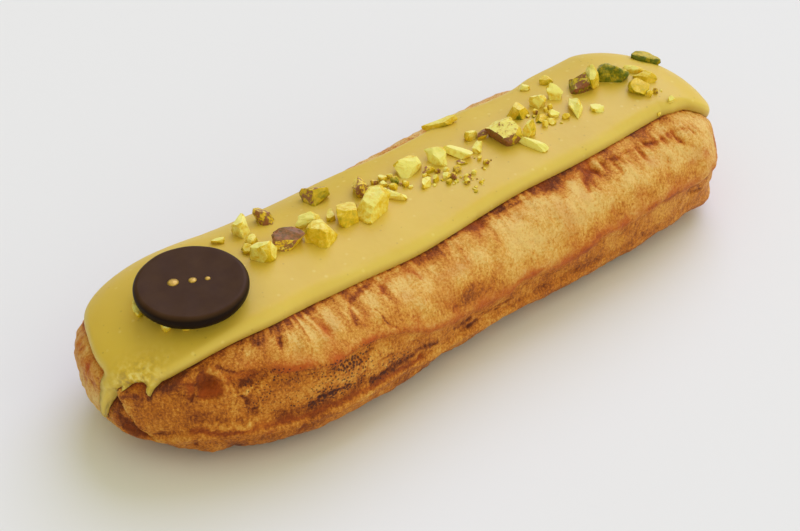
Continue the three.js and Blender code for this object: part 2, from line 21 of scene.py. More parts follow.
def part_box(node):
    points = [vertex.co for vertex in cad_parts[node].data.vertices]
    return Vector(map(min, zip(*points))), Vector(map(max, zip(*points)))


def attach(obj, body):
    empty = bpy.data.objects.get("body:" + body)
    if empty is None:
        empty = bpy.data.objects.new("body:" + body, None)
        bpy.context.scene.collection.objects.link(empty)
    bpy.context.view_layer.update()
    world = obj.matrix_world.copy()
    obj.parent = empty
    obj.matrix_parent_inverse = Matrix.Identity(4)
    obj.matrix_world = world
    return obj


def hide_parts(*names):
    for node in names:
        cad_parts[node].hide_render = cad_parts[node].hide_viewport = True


bl_info = {
    "name": "Pistachio Eclair",
    "version": (1, 0, 0),
    "blender": (4, 5, 0),
    "location": "3D View > Sidebar > Eclair",
    "description": "Builds the crust, icing, chopped nuts and chocolate disc of an eclair",
    "category": "Add Mesh",
}

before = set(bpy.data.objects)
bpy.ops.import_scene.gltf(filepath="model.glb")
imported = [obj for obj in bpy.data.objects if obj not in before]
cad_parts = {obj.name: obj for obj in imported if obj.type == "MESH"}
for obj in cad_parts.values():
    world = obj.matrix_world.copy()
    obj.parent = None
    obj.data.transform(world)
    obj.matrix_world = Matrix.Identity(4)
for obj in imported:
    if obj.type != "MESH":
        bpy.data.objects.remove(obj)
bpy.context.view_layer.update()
MM = 0.001

# Choux pastry: length, rounded ends, half widths and crown heights at even steps along it
LENGTH = 150
DISC_END_LENGTH = 35.8
PLAIN_END_LENGTH = 16.7
DISC_END_LEAN = 5.6
PLAIN_END_LEAN = -1.7
DISC_END_SQUARENESS = 2.26
PLAIN_END_SQUARENESS = 2.0
FRONT_HALF_WIDTHS = (23.6, 23.6, 24.1, 24.6, 23.7, 22.8, 22.7, 23.3, 23.2, 22.4, 22.7)
BACK_HALF_WIDTHS = (24.3, 24.5, 23.7, 22.4, 21.8, 23.0, 24.0, 23.7, 22.6, 21.4, 20.4)
CROWN_HEIGHTS = (27.0, 27.0, 26.5, 26.8, 26.9, 26.5, 26.5)
WAIST_HEIGHT = 11.0
TOP_SQUARENESS = 2.7
BASE_SQUARENESS = 2.5
BASE_CUT = 1.0
BASE_EDGE_CLIMB = -64
MM_PER_DEGREE = 0.28
MM_PER_LAP = np.array([97.5, 60, 97.5, 95])

# Crust relief: heights and depths in millimetres, and lines of (lap, climb) or (lap, amount) round it
RELIEF_BASE = -0.45
BULGE = 0.7
BAND_DEPTH = 0.5
CRACK_DEPTH = 0.6
FOOT_ROLL = 0.4
LUMP = 0.3
VALLEY_DEPTH = 2.2
# A tear in the crust: its place, how far it opens to its left, to its right and up, and its depth
CRATER = {"lap": 3.764, "climb": 28, "left": 1.1, "right": 2.4, "up": 2.2, "depth": 1.8}
RIDGE_LINE = (
    (0.0, 26), (0.06, 29.5), (0.11, 28), (0.17, 22), (0.23, 11), (0.3, 7), (0.45, 3.5), (0.49, 7.5),
    (0.6, 4), (0.66, 5), (0.71, 9), (0.8, 7.5), (0.9, 9), (1.0, 6), (1.1, 8), (1.3, 2), (1.8, 4),
    (2.2, 8), (2.6, 4), (3.0, 9), (3.35, 4), (3.62, 14), (3.71, 29), (3.81, 38), (3.87, 37), (3.94, 31.5),
)
RIDGE_RISE = ((0.0, 0.9), (3.05, 0.9), (3.3, 0.3), (3.6, 0.3), (3.7, 0.8))
CRACK_LINE = (
    (0.0, -1), (0.11, 1.5), (0.17, -0.5), (0.23, -5.5), (0.35, -7), (0.43, -11), (0.7, -14), (1.0, -14),
    (1.4, -18), (2.0, -12), (2.5, -15), (3.0, -10), (3.4, -16), (3.67, -9), (3.75, 3), (3.82, 3.7),
    (3.9, 1),
)
CRACK_OPEN = (
    (0.0, 1), (0.4, 1), (0.6, 0.6), (0.8, 0.3), (1.05, 0.12), (1.7, 0.2), (2.2, 0.7), (3.0, 1),
    (3.3, 0.3), (3.6, 0.3), (3.68, 1),
)
# How far the foot reaches out, in millimetres
FOOT_REACH = (
    (0.0, 0.1), (0.03, -0.2), (0.09, -0.1), (0.15, 0.45), (0.2, 0.65), (0.25, 0.25), (0.29, -0.1),
    (0.35, 0.8), (0.39, 0.65), (0.43, 0.1), (0.51, 0.1), (0.57, 0.9), (0.63, 0.75), (0.7, 0.5),
    (0.79, 0.7), (0.82, 1.2), (0.86, 1.1), (0.9, 0.4), (0.95, 0.45), (0.98, 0.0), (1.02, -0.3),
    (1.08, 0.1), (1.14, 0.9), (1.3, 0.7), (2.0, 0.3), (2.4, 0.1), (2.7, 0.5), (3.1, 0.2), (3.5, 0.1),
    (3.59, -0.2), (3.63, -0.6), (3.66, -0.3), (3.69, 0.4), (3.74, 0.6), (3.77, 1.1), (3.81, -0.2),
    (3.85, 0.4), (3.93, 0.7), (3.97, 0.6),
)
# Short folds under the icing: lap, climb, depth, half width, half height
FOLDS = (
    (0.016, 48, 0.6, 1.0, 1.9), (0.098, 52, 0.4, 0.9, 2.6), (0.172, 52, 0.5, 0.9, 2.0),
    (0.3, 53, 0.3, 1.2, 1.2), (0.455, 57, 0.45, 0.9, 1.8), (0.56, 56, 0.3, 1.0, 1.4),
    (0.632, 57, 0.45, 1.0, 1.5), (0.684, 57.5, 0.4, 1.3, 1.2), (0.72, 50, 0.35, 0.8, 1.3),
    (0.76, 56, 0.8, 1.0, 2.0), (0.786, 56, 0.5, 0.8, 1.4), (0.812, 54, 0.45, 0.8, 1.7),
    (0.852, 53, 0.5, 0.8, 1.7), (0.886, 51, 0.55, 0.8, 1.9), (0.928, 51, 0.5, 0.8, 1.6),
    (0.954, 49.5, 0.45, 0.7, 1.5), (0.99, 47.5, 0.5, 0.8, 1.6), (1.083, 43.5, 0.5, 0.8, 1.6),
    (0.866, 44, 0.3, 0.8, 1.1), (0.938, 34, 0.3, 0.8, 1.1), (3.92, 50, 0.4, 0.8, 1.6),
    (1.5, 8, 0.4, 1.0, 2.4), (2.15, 34, 0.5, 1.1, 2.6), (2.28, 30, 0.4, 1.0, 2.0),
    (2.44, 33, 0.6, 1.2, 2.6), (2.7, 27, 0.5, 1.0, 2.4), (2.86, 24, 0.5, 1.1, 2.2),
    (3.12, 16, 0.4, 0.9, 2.0),
)
# The fold of the disc end, as (climb, lap) pairs
CHEEK_LINE = (
    (-20, 3.665), (-15, 3.645), (-6.6, 3.626), (0, 3.61), (3, 3.595), (7.4, 3.581), (13, 3.574),
    (20, 3.568), (30, 3.55),
)
# Raised blisters: lap, climb, height, half length, half height
BLISTERS = ((2.26, 47, 0.4, 9, 4.0), (2.51, 47, 0.4, 13, 4.0))

# Icing: the climb of its edge round the pastry, and how far its drip and teeth hang below that
ICING_THICKNESS = 2.0
DRIP_THICKNESS = 1.1
GAP = 0.3
EDGE_ROUNDING = 3.0
# Laps between the places where the edge is looked up, and how many of them are near enough to matter
EDGE_STEP = 0.003
EDGE_STEPS_NEAR = 16
ICING_EDGE = (
    (0.0, 66.5), (0.14, 65), (0.29, 60.3), (0.4, 60.9), (0.57, 63.8), (0.74, 63.6), (0.93, 65),
    (1.02, 65), (1.16, 60), (1.22, 54), (1.25, 48), (1.275, 33), (1.31, 24), (1.4, 21), (1.5, 21),
    (1.7, 24), (1.85, 34), (2.0, 42), (2.12, 46), (2.2, 57), (2.31, 57), (2.35, 53), (2.4, 57), (2.6, 57),
    (2.68, 46), (2.75, 38), (2.85, 38), (3.0, 36), (3.14, 29), (3.26, 23), (3.37, 27), (3.43, 26),
    (3.47, 24), (3.5, 22), (3.54, 20.5), (3.6, 21), (3.64, 24), (3.662, 29.4), (3.695, 37), (3.73, 45),
    (3.77, 51.6), (3.817, 56.8), (3.873, 60.3), (3.933, 63.2),
)
ICING_DROP = (
    (0.0, 0), (3.512, 0), (3.52, 1.5), (3.526, 5), (3.531, 11), (3.535, 19), (3.539, 27), (3.543, 32.5),
    (3.547, 34.5), (3.551, 33), (3.555, 27.5), (3.56, 18), (3.565, 9.5), (3.57, 4), (3.577, 0.5),
    (3.587, 3.5), (3.592, -1), (3.602, -3.5), (3.62, -3.5), (3.632, 0), (3.643, 4.5), (3.651, 8.5),
    (3.655, 4), (3.662, 0),
)
DRIP_LEAN = {"lap": 3.545, "reach": 0.1, "most": 0.04}
# Where the icing curdled: its lap, degrees over the evened edge, half length in laps and half height
CURD = {"lap": 3.607, "over_edge": 3, "half_length": 0.045, "half_height": 14}
# How far the icing's hidden side and its very edge lie inside the crust, in millimetres
ICING_TUCK = {"under": 0.5, "edge": 0.15}

# Chocolate disc
DISC_RADIUS = 10.9
DISC_THICKNESS = 3.5
DISC_ROUNDING = 1.2
DISC_CENTRE = Vector((-54.5, 0.9, 30.85))
DISC_TILT = 2

# How the crust is toned round it, as lines of (lap, amount from 0 to 1): how brown the bulge and the band
# under it are, how much browner the bulge is near the ridge and near the icing, and how red the ridge is.
# The band is painted browner from lap 0.3 to 1 partly as painted shade, and both are painted paler from
# lap 3.4 to 3.55, at the disc end, against the shade there
BULGE_TONE = (
    (0.0, 0.34), (0.1, 0.22), (0.18, 0.2), (0.3, 0.16), (0.45, 0.15), (0.6, 0.08), (0.8, 0.12),
    (0.95, 0.18), (1.1, 0.12), (1.5, 0.2), (2.0, 0.1), (2.5, 0.06), (3.0, 0.1), (3.4, 0.1), (3.5, 0.06),
    (3.56, 0.14), (3.6, 0.36), (3.66, 0.5), (3.75, 0.54), (3.8, 0.5), (3.88, 0.42), (3.95, 0.4),
)
BAND_TONE = (
    (0.0, 0.58), (0.1, 0.54), (0.25, 0.58), (0.4, 0.6), (0.6, 0.62), (0.8, 0.6), (0.95, 0.58),
    (1.1, 0.46), (2.0, 0.46), (3.0, 0.45), (3.4, 0.14), (3.5, 0.1), (3.56, 0.25), (3.62, 0.55),
    (3.75, 0.58), (3.83, 0.52), (3.9, 0.64), (3.95, 0.7),
)
CARAMEL = (
    (0.0, 0.05), (0.1, 0.12), (0.2, 0.3), (0.45, 0.36), (0.6, 0.3), (1.0, 0.34), (1.1, 0.2), (2.0, 0.2),
    (3.0, 0.1), (3.4, 0),
)
TOAST = (
    (0.0, 0.75), (0.05, 0.45), (0.1, 0.05), (0.2, 0.2), (0.3, 0.3), (0.4, 0.75), (0.48, 0.75),
    (0.56, 0.45), (0.64, 1.1), (0.72, 0.8), (0.8, 0.45), (0.88, 0.5), (0.96, 0.4), (1.05, 0.14),
    (1.3, 0.1), (2.0, 0.3), (3.0, 0.25), (3.5, 0.1), (3.64, 0.35), (3.75, 0.35), (3.9, 0.5), (3.96, 0.65),
)
RIDGE_BLUSH = (
    (0.0, 0.9), (0.1, 1), (0.2, 0.95), (0.35, 0.85), (0.5, 0.85), (0.8, 0.85), (1.0, 0.7), (1.1, 0.4),
    (1.5, 0.4), (2.5, 0.5), (3.2, 0.4), (3.4, 0), (3.84, 0), (3.9, 0.5), (3.96, 0.8),
)
# Marks on the crust: lap (counted below 0 for the disc end), millimetres under the icing's edge, half
# length, half height and turn, then how much browner, redder and deeper they are. Most are marks of the
# baking; some are painted shade, under the icing's tooth, under the lip of the disc end's fold and at the
# foot
CRUST_MARKS = (
    (-0.33, 1.0, 1.2, 0.8, 0, 0.35, 0, 0), (-0.318, 2.3, 1.3, 0.5, 35, 0.35, 0.1, 0.15),
    (-0.288, 2.8, 2.8, 1.1, 50, 0.26, 0.1, 0), (-0.267, 5.2, 0.7, 1.5, -10, 0.12, 0.8, 0),
    (-0.264, 7.2, 0.3, 0.5, 20, 0.6, 0.1, 0.3), (-0.163, 8.8, 0.5, 0.35, 0, 0.35, 0.1, 0.25),
    (-0.148, 9.5, 0.5, 0.35, 20, 0.35, 0.1, 0.25), (-0.137, 10.5, 0.4, 0.35, 0, 0.35, 0.1, 0.25),
    (-0.127, 9.3, 0.9, 0.35, -10, 0.35, 0, 0.2), (-0.153, 10.7, 0.6, 0.5, 0, -0.3, 0, -0.15),
    (-0.135, 11.1, 0.6, 0.4, 0, -0.3, 0, -0.15), (-0.111, 9.3, 0.7, 0.4, 0, -0.2, 0, -0.1),
    (-0.17, 6.8, 3.4, 1.0, 15, 0.1, 0.6, 0), (-0.07, 9.2, 2.8, 0.6, 5, 0.1, 0.8, 0),
    (-0.15, 1.2, 1.3, 0.5, 20, 0.3, 0, 0.15), (-0.135, 2.1, 1.5, 0.4, 15, 0.28, 0, 0.15),
    (-0.118, 1.2, 0.9, 0.4, -20, 0.2, 0, 0.1), (-0.081, 3.5, 0.6, 0.9, 0, 0.4, 0.1, 0.25),
    (0.013, 4.8, 0.9, 1.0, 0, 0.15, 0.5, 0.2), (0.01, 0.6, 1.8, 0.6, 0, 0.35, 0.3, 0),
    (0.0, 5.5, 7.5, 3.2, 5, -0.2, 0, 0), (-0.163, 11.3, 0.3, 0.35, 0, 0.5, 0.1, 0.2),
    (-0.155, 12.5, 0.25, 0.5, 0, 0.4, 0.1, 0.2), (-0.144, 14.8, 0.35, 0.45, 0, 0.6, 0.1, 0.25),
    (-0.14, 15.7, 0.3, 0.3, 0, 0.5, 0.1, 0.2), (-0.258, 17.3, 0.5, 0.8, 10, 0.6, 0.3, 0.3),
    (-0.18, 23.0, 1.6, 2.2, 0, 0.4, 0, 0), (-0.115, 19.3, 0.9, 0.4, 0, 0.12, 0.7, 0.1),
    (-0.06, 21.5, 0.35, 1.3, 10, 0.5, 0.4, 0.2), (0.667, 2.7, 0.8, 0.6, 0, 0.35, 0.4, 0.25),
    (0.655, 1.2, 2.6, 0.9, 0, 0.4, 0.15, 0.1), (0.703, 1.8, 1.0, 0.5, 20, 0.22, 0.5, 0.1),
    (0.745, 2.0, 1.5, 0.6, 0, 0.4, 0.3, 0.3), (0.821, 2.8, 0.5, 0.5, 0, 0.35, 0.2, 0.25),
    (0.859, 4.5, 0.35, 1.6, 0, 0.3, 0.1, 0.2), (0.921, 3.6, 1.3, 0.5, 15, 0.42, 0.1, 0.3),
    (0.887, 5.8, 0.5, 1.1, -15, 0.25, 0.2, 0.15), (0.939, 9.0, 0.4, 0.9, 10, 0.3, 0.1, 0.15),
    (0.81, 6.0, 0.5, 1.2, -10, 0.18, 0.1, 0.1), (0.774, 4.6, 0.4, 1.0, 10, 0.22, 0.1, 0.1),
    (0.602, 4.8, 0.35, 0.4, 0, 0.3, 0, 0.15), (0.515, 4.0, 0.22, 0.22, 0, 0.45, 0, 0.15),
    (0.52, 8.5, 0.22, 0.22, 0, 0.4, 0, 0.15), (0.527, 11.8, 0.22, 0.22, 0, 0.4, 0, 0.15),
    (0.537, 4.7, 0.22, 0.22, 0, 0.4, 0, 0.15), (0.545, 9.2, 0.22, 0.22, 0, 0.35, 0, 0.15),
    (0.507, 10.5, 0.22, 0.22, 0, 0.35, 0, 0.15), (0.751, 11.5, 0.8, 1.2, 0, 0.1, 0.5, 0.1),
    (1.08, 6.0, 0.8, 0.6, 0, 0.28, 0.1, 0.2), (1.0, 12.0, 1.4, 0.9, 0, 0.1, 0.7, 0.1),
    (1.095, 11.5, 1.6, 1.0, -20, 0.1, 0.6, 0.1), (0.995, 6.5, 0.5, 1.2, 0, 0.35, 0.1, 0.25),
    (1.03, 8.7, 0.7, 0.6, 0, 0.12, 0.4, 0.1), (0.45, 1.2, 1.9, 0.9, 0, 0.45, 0.25, 0.1),
    (0.46, 4.0, 0.4, 1.8, 5, 0.25, 0.3, 0.15), (0.305, 12.8, 0.6, 0.35, 0, 0.3, 0.1, 0.1),
    (0.36, 10.5, 0.4, 0.4, 0, 0.25, 0.1, 0.1), (0.333, 11.0, 0.5, 0.3, 0, 0.15, 0.3, 0.1),
    (0.11, 14.6, 0.5, 0.4, 30, 0.35, 0, 0.2), (0.3, 1.0, 3.5, 0.6, 0, 0.25, 0.3, 0),
    (0.13, 1.6, 2.4, 0.5, -10, 0.2, 0.1, 0), (0.22, 1.5, 2.6, 0.6, 5, 0.2, 0.2, 0),
    (-0.53, 2.0, 1.5, 0.6, 10, 0.35, 0.6, 0.2), (-0.51, 4.2, 1.6, 0.5, 30, 0.25, 0.5, 0.2),
    (-0.545, 5.4, 0.8, 1.6, 10, 0.3, 0.5, 0.2), (-0.5, 7.6, 2.2, 1.2, 0, -0.25, 0, 0),
    (-0.395, 9.5, 0.8, 1.9, -25, 0.5, 0.3, 0.3), (-0.37, 11.2, 0.9, 0.8, 0, 0.4, 0.3, 0.2),
    (-0.38, 1.8, 1.5, 0.6, 0, 0.4, 0.2, 0), (-0.405, 2.2, 0.7, 0.5, 0, 0.3, 0.1, 0),
    (-0.37, 7.8, 1.0, 0.9, 0, 0.35, 0.2, 0), (-0.13, 9.9, 4.0, 1.6, 5, -0.24, 0, 0),
    (-0.392, 4.4, 1.2, 2.4, 0, -0.28, 0, 0), (-0.02, 13.0, 3.6, 1.2, 5, 0.16, 0, 0),
    (-0.09, 19.7, 3.0, 1.2, 10, -0.14, 0, 0), (-0.277, 3.0, 1.7, 1.4, 20, -0.24, 0, 0),
    (-0.22, 7.4, 2.2, 1.6, 30, 0.1, 0.6, 0), (-0.54, 2.4, 3.4, 1.8, 0, 0.12, 0.45, 0),
    (-0.53, 2.4, 0.6, 1.2, -15, 0.35, 0.4, 0.3), (-0.495, 2.8, 0.45, 0.6, 0, 0.3, 0.4, 0.25),
    (-0.585, 1.6, 0.8, 0.6, 0, 0.3, 0.4, 0.25),
)
# The row of short furrows near the far end: lap and millimetres under the edge of the middle of each
FURROWS = (
    (0.741, 2.4), (0.735, 5.2), (0.762, 3.6), (0.786, 3.0), (0.81, 4.2), (0.828, 3.4), (0.845, 4.4),
    (0.868, 4.0), (0.888, 4.9), (0.912, 3.8), (0.935, 3.4), (0.956, 4.4), (0.974, 4.3), (0.99, 5.2),
    (1.037, 4.6), (1.07, 4.0), (1.11, 4.8),
)
# Scorched places: lap, millimetres under the edge, how much, half length in laps, half height
SCORCHED = (
    (0.03, 13, 0.25, 0.05, 0.8), (0, 17.5, 0.3, 0.05, 0.7), (0.095, 18.4, 0.8, 0.03, 0.5),
    (0.16, 17.6, 0.4, 0.05, 0.8),
)
# Thin lines on the crust: points as (lap, millimetres under the edge), half width, browner, redder, deeper.
# The dark line down the left side of the tear is painted shade
CRUST_LINES = (
    (
        ((-0.262, 13.4), (-0.245, 13.9), (-0.215, 15.2), (-0.19, 16.2), (-0.165, 16.7), (-0.13, 17.4),
         (-0.09, 18.3), (-0.05, 18.9), (0.0, 19.2), (0.05, 19.1), (0.1, 18.9), (0.16, 19.0),
         (0.215, 19.2)),
        0.35, 0.4, 0.6, 0.3,
    ),
    (((-0.26, 12.6), (-0.22, 14.2), (-0.18, 15.6), (-0.15, 16.3)), 0.4, -0.25, 0, -0.2),
    (((-0.252, 3.2), (-0.247, 5.5), (-0.244, 7.6)), 0.6, 0.65, 0.3, 0.4),
    (((-0.244, 7.8), (-0.228, 8.6), (-0.205, 8.8)), 0.6, 0.3, 0.5, 0.2),
    (((-0.235, 3.0), (-0.21, 5.0), (-0.197, 7.2)), 0.5, -0.25, 0, -0.25),
    (((-0.22, 2.7), (-0.2, 4.3), (-0.175, 6.0)), 0.22, 0.35, 0, 0.15),
    (((-0.045, 17.6), (-0.01, 17.4), (0.02, 17.6)), 0.22, 0.7, 0, 0.2),
    (
        ((0.075, 6.2), (0.078, 4.6), (0.086, 3.2), (0.1, 2.2), (0.127, 1.5), (0.168, 0.6)),
        0.35, 0.4, 0.3, 0.25,
    ),
    (((0.129, 5.5), (0.132, 7), (0.139, 9), (0.155, 10.7)), 0.18, 0.4, 0, 0.15),
    (((0.16, 3.6), (0.175, 2.6), (0.2, 1.2)), 0.45, 0.25, 0.4, 0.15),
    (((0.262, 3.8), (0.255, 2.4), (0.24, 1.2)), 0.5, 0.2, 0.5, 0.15),
    (((0.075, 18.4), (0.095, 18.5), (0.12, 18.2)), 0.3, 0.85, 0, 0.3),
    (((0.12, 18.1), (0.17, 17.9), (0.215, 17.5), (0.26, 17.3)), 0.18, 0.65, 0, 0.2),
    (((0.306, 17.1), (0.355, 17.1)), 0.18, 0.6, 0, 0.2),
    (((0.35, 18.9), (0.373, 18.9)), 0.45, 0.65, 0, 0.3),
    (((0.425, 19.4), (0.44, 19.3)), 0.3, 0.45, 0, 0.2),
    (((0.5, 1.0), (0.53, 1.4), (0.58, 1.8), (0.6, 1.5)), 0.22, 0.35, 0, 0.1),
    (((0.714, 5.6), (0.722, 4.0), (0.735, 2.8), (0.755, 2.5), (0.762, 3.2)), 0.5, 0.42, 0.3, 0.3),
    (
        ((0.79, 2.3), (0.82, 2.6), (0.85, 2.4), (0.87, 2.8), (0.9, 3.6), (0.95, 3.9), (1.0, 3.9),
         (1.08, 4.6)),
        0.4, 0.2, 0.2, 0.15,
    ),
    (((-0.442, 0), (-0.428, 3.5), (-0.413, 5.0)), 0.5, 0.4, 0.4, 0.1),
    (((-0.417, 5.3), (-0.4, 7.0), (-0.38, 8.5), (-0.35, 10.3)), 0.45, -0.3, 0, -0.1),
    (((2.1, 10), (2.16, 13.5), (2.22, 13.6), (2.3, 14.6)), 0.35, 0.5, 0.2, 0.4),
    (((2.46, 14.8), (2.55, 14.5), (2.6, 13.6)), 0.35, 0.45, 0.2, 0.35),
    (((-1.4, 13.6), (-1.35, 12.4), (-1.3, 11.2)), 0.35, 0.45, 0.2, 0.35),
    (((-1.16, 7.3), (-1.13, 9.5), (-1.1, 11.5)), 0.35, 0.4, 0.2, 0.35),
)

# Chopped pistachios: place of the middle, length, width, height, turn, and what shows of them
NUTS = (
    (-40.4, 11.9, 3.4, 1.6, 1.5, -40, "cream"), (-34.6, 11.6, 5.2, 3.4, 4.2, 50, "cream"),
    (-29.2, 11.9, 4.2, 3.4, 4.4, 75, "tan"), (-35.8, 6.8, 2.6, 2.1, 2.1, 10, "yellow"),
    (-37.9, 4.85, 2.6, 2.3, 2.2, -20, "golden"), (-37.0, 1.6, 4.6, 3.6, 5.0, -25, "cream"),
    (-31.0, 1.7, 6.0, 4.2, 4.2, -35, "purple"), (-24.2, 4.2, 5.2, 3.0, 3.2, -40, "cream"),
    (-25.0, -1.2, 6.4, 5.4, 4.6, 20, "yellow"), (-19.4, 3.1, 2.5, 2.1, 2.2, 30, "yellow"),
    (-17.3, 10.4, 5.6, 3.8, 4.4, -75, "olive"), (-17.1, 0.5, 5.4, 4.8, 4.2, 5, "golden"),
    (-9.4, 6.1, 4.4, 3.0, 3.8, 55, "tan"), (-12.0, -0.7, 7.6, 6.0, 5.4, 20, "yellow"),
    (-3.8, 5.9, 2.2, 1.7, 1.6, 15, "yellow"), (-5.1, 4.1, 1.9, 1.6, 1.5, -50, "cream"),
    (-2.6, 3.7, 2.0, 1.6, 1.7, 80, "green"), (-5.8, 6.1, 1.6, 1.4, 1.2, 0, "tan"),
    (-5.6, -0.2, 4.3, 2.2, 1.9, -60, "cream"), (2.0, 4.6, 6.8, 3.9, 3.7, -10, "cream"),
    (8.6, 3.5, 5.6, 3.9, 3.4, -65, "cream"), (4.9, 1.8, 2.6, 1.7, 1.5, 10, "olive"),
    (1.7, -1.3, 2.7, 2.2, 1.9, 20, "yellow"), (6.2, -2.0, 1.9, 1.6, 1.4, 0, "cream"),
    (9.2, -1.8, 2.1, 1.8, 1.6, 40, "tan"), (11.6, -0.4, 2.2, 1.4, 1.1, -40, "olive"),
    (13.2, 1.8, 6.3, 2.7, 2.6, -60, "cream"), (17.2, 0.8, 2.9, 2.1, 2.3, 20, "cream"),
    (18.9, 4.8, 2.5, 2.3, 2.6, 0, "yellow"), (18.0, 14.1, 8.2, 2.1, 1.9, -41, "yellow"),
    (20.9, 3.6, 2.7, 2.3, 2.0, -10, "purple"), (24.0, 0.1, 7.0, 5.4, 5.2, -20, "half"),
    (28.6, -2.2, 3.2, 2.2, 4.6, 20, "cream"), (26.8, -5.2, 6.0, 2.5, 2.6, -70, "cream"),
    (32.0, 4.7, 4.6, 3.6, 4.0, -55, "green"), (37.8, 4.7, 3.6, 3.4, 3.6, 10, "cream"),
    (42.5, 4.5, 4.1, 3.0, 3.8, -60, "cream"), (45.6, 10.6, 2.6, 2.2, 2.0, -20, "golden"),
    (37.2, -0.6, 2.9, 2.2, 1.9, -30, "cream"), (34.6, 0.2, 3.0, 2.0, 1.3, 0, "green"),
    (35.1, -1.8, 2.1, 1.7, 1.2, -40, "golden"), (42.3, -1.4, 6.0, 2.6, 2.8, 63, "cream"),
    (45.9, -4.4, 3.1, 1.8, 1.6, -50, "cream"), (48.4, 3.3, 4.2, 4.2, 4.4, 0, "dark"),
    (51.4, 2.8, 4.4, 2.6, 5.2, 60, "cream"), (56.7, 2.0, 6.0, 4.3, 4.4, -30, "deep"),
    (61.6, 1.1, 5.2, 1.8, 1.8, -55, "yellow"), (61.6, -3.0, 4.4, 2.8, 2.6, -60, "golden"),
    (57.7, -5.0, 3.9, 3.7, 3.4, 0, "amber"), (69.0, 3.9, 5.4, 2.8, 2.8, -50, "deep"),
    (40.5, 12.0, 2.4, 2.1, 1.7, 70, "cream"),
)
# Scraps that hold the disc up: place, length, width and turn
PROPS = ((-62.8, 6.6, 3.6, 2.0, 50), (-62.2, -1.2, 2.0, 1.6, -30), (-59.2, -3.9, 2.0, 1.6, 10))
NUT_SINK = {"share": 0.3, "least": 0.45, "most": 1.1}
# Heaps of crumbs: place, width and count
CRUMB_HEAPS = (
    (-4.2, 3.4, 6.5, 5), (7.4, -1.8, 6, 5), (2.6, -0.4, 4, 2), (9.6, -6.4, 4, 2), (35.8, 0.2, 6, 5),
    (59.6, -8.6, 5.5, 3), (17, -1.2, 6, 2),
)
CRUMBS = {"smallest": 0.9, "largest": 1.5, "clear": 0.5}

# Looks of the scraps: green of the cut faces, green of the rounded outside, skin, and how many cuts
NUT_LOOKS = {
    "cream": (0.04, 0.42, 0.0, 7), "yellow": (0.26, 0.5, 0.0, 6), "golden": (0.4, 0.5, 0.1, 5),
    "green": (0.5, 0.82, 0.1, 5), "tan": (0.55, 0.6, 0.55, 6), "purple": (0.42, 0.5, 1.0, 5),
    "olive": (0.55, 0.66, 0.55, 5), "half": (0.3, 0.6, 0.7, 4), "dark": (0.85, 0.95, 0.6, 5),
    "deep": (0.76, 0.9, 0.1, 4), "amber": (0.66, 0.62, 0.2, 3),
}
# The side of a scrap that its skin is left on, where it isn't any side
SKIN_SIDES = {
    "purple": (-0.25, 0.3, 0.9), "olive": (-0.3, 0.5, 0.75), "half": (-0.9, -0.35, -0.1),
    "tan": (-0.3, -0.7, 0.6), "dark": (-0.7, -0.6, 0.3),
}

# Dots on the disc: place from its middle, and radius
GOLD_DOTS = ((-2.6, 2.0, 1.15), (0.5, 0.1, 0.85), (2.9, -1.4, 0.6))
# Steps once round the disc and round a dot
DISC_STEPS = 128
DOT_STEPS = 24

# Columns of each grid on the four sides of the pastry, and its rings. The crust's first rings lie hidden
# under the icing, a share of the way to its edge apart, the next start some millimetres inside that edge,
# and the last are at these climbs under the base
CRUST_COLUMNS = (330, 110, 210, 290)
CRUST_RINGS = {"hidden": 4, "shown": 84}
HIDDEN_RING_SHARE = 0.22
CRUST_UNDER_EDGE = 1.2
BASE_CLIMBS = (-70, -80, -90)
ICING_COLUMNS = (270, 130, 270, 510)
ICING_RINGS = {"crown": 16, "rounding": 20, "under": 5}

# Camera: where it looks from, in degrees, how far away, its lens, and where its middle lies
CAMERA_TURN = -40.5
CAMERA_HEIGHT = 39.1
CAMERA_DISTANCE = 447.1
LENS_IN_FRAME_PIXELS = 2200
PHOTO_WIDTH = 800
AIM = {"height": 14, "right": -3.2, "up": -4.6}

# Light: a broad cool lamp from behind, and warm walls that are brighter where BRIGHT_WALL points. The floor
# reaches so many metres each way
KEY_ENERGY = 1.84
KEY_COLOUR = (0.54, 0.56, 1.0)
KEY_ANGLE = 50
KEY_FROM = (0.62, 0.34, 0.7)
WALL_COLOUR = (0.98, 0.97, 0.72, 1)
BRIGHT_WALL = (0.5, -0.866, 0)
AMBIENT = 0.79
AMBIENT_SHARES = {"dark": 0.45, "bright": 1.55}
FLOOR_HALF_WIDTH = 4

# The frame's disc tells how far the solids were moved to put the middle of their box over the origin
disc_low, disc_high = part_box("chocolate_disc")
MOVED = (disc_low + disc_high) / (2 * MM) - DISC_CENTRE


def linear(hex_code):
    """An sRGB hex colour as linear red, green, blue and an alpha of 1."""
    parts = [int(hex_code[i : i + 2], 16) / 255 for i in (1, 3, 5)]
    return (*[p / 12.92 if p <= 0.04045 else ((p + 0.055) / 1.055) ** 2.4 for p in parts], 1.0)


def step(value, low, high):
    """0 below low, 1 above high, and smooth between them."""
    share = np.clip((value - low) / (high - low), 0, 1)
    return share * share * (3 - 2 * share)


def bell(value, width):
    """1 at 0, falling smoothly to nothing over about twice the width."""
    return np.exp(-((value / width) ** 2))


def random_from(seed):
    """The same repeatable random number from 0 to 1 as the solids use."""
    wave = math.sin(seed * 12.9898 + 4.1414) * 43758.5453
    return wave - math.floor(wave)


def lattice(cells, seed):
    """A repeatable random number from 0 to 1 for each cell of a grid."""
    wave = np.sin(cells @ np.array([127.1, 311.7, 74.7]) + seed * 53.3) * 43758.5453
    return wave - np.floor(wave)


def mottle(points, size, seed):
    """Smooth noise from -1 to 1, with lumps about size across."""
    scaled = points / size
    cell = np.floor(scaled)
    part = scaled - cell
    part = part * part * (3 - 2 * part)
    total = np.zeros(len(points))
    for corner in np.ndindex(2, 2, 2):
        share = np.prod(np.where(corner, part, 1 - part), axis=1)
        total += share * lattice(cell + corner, seed)
    return total * 2 - 1


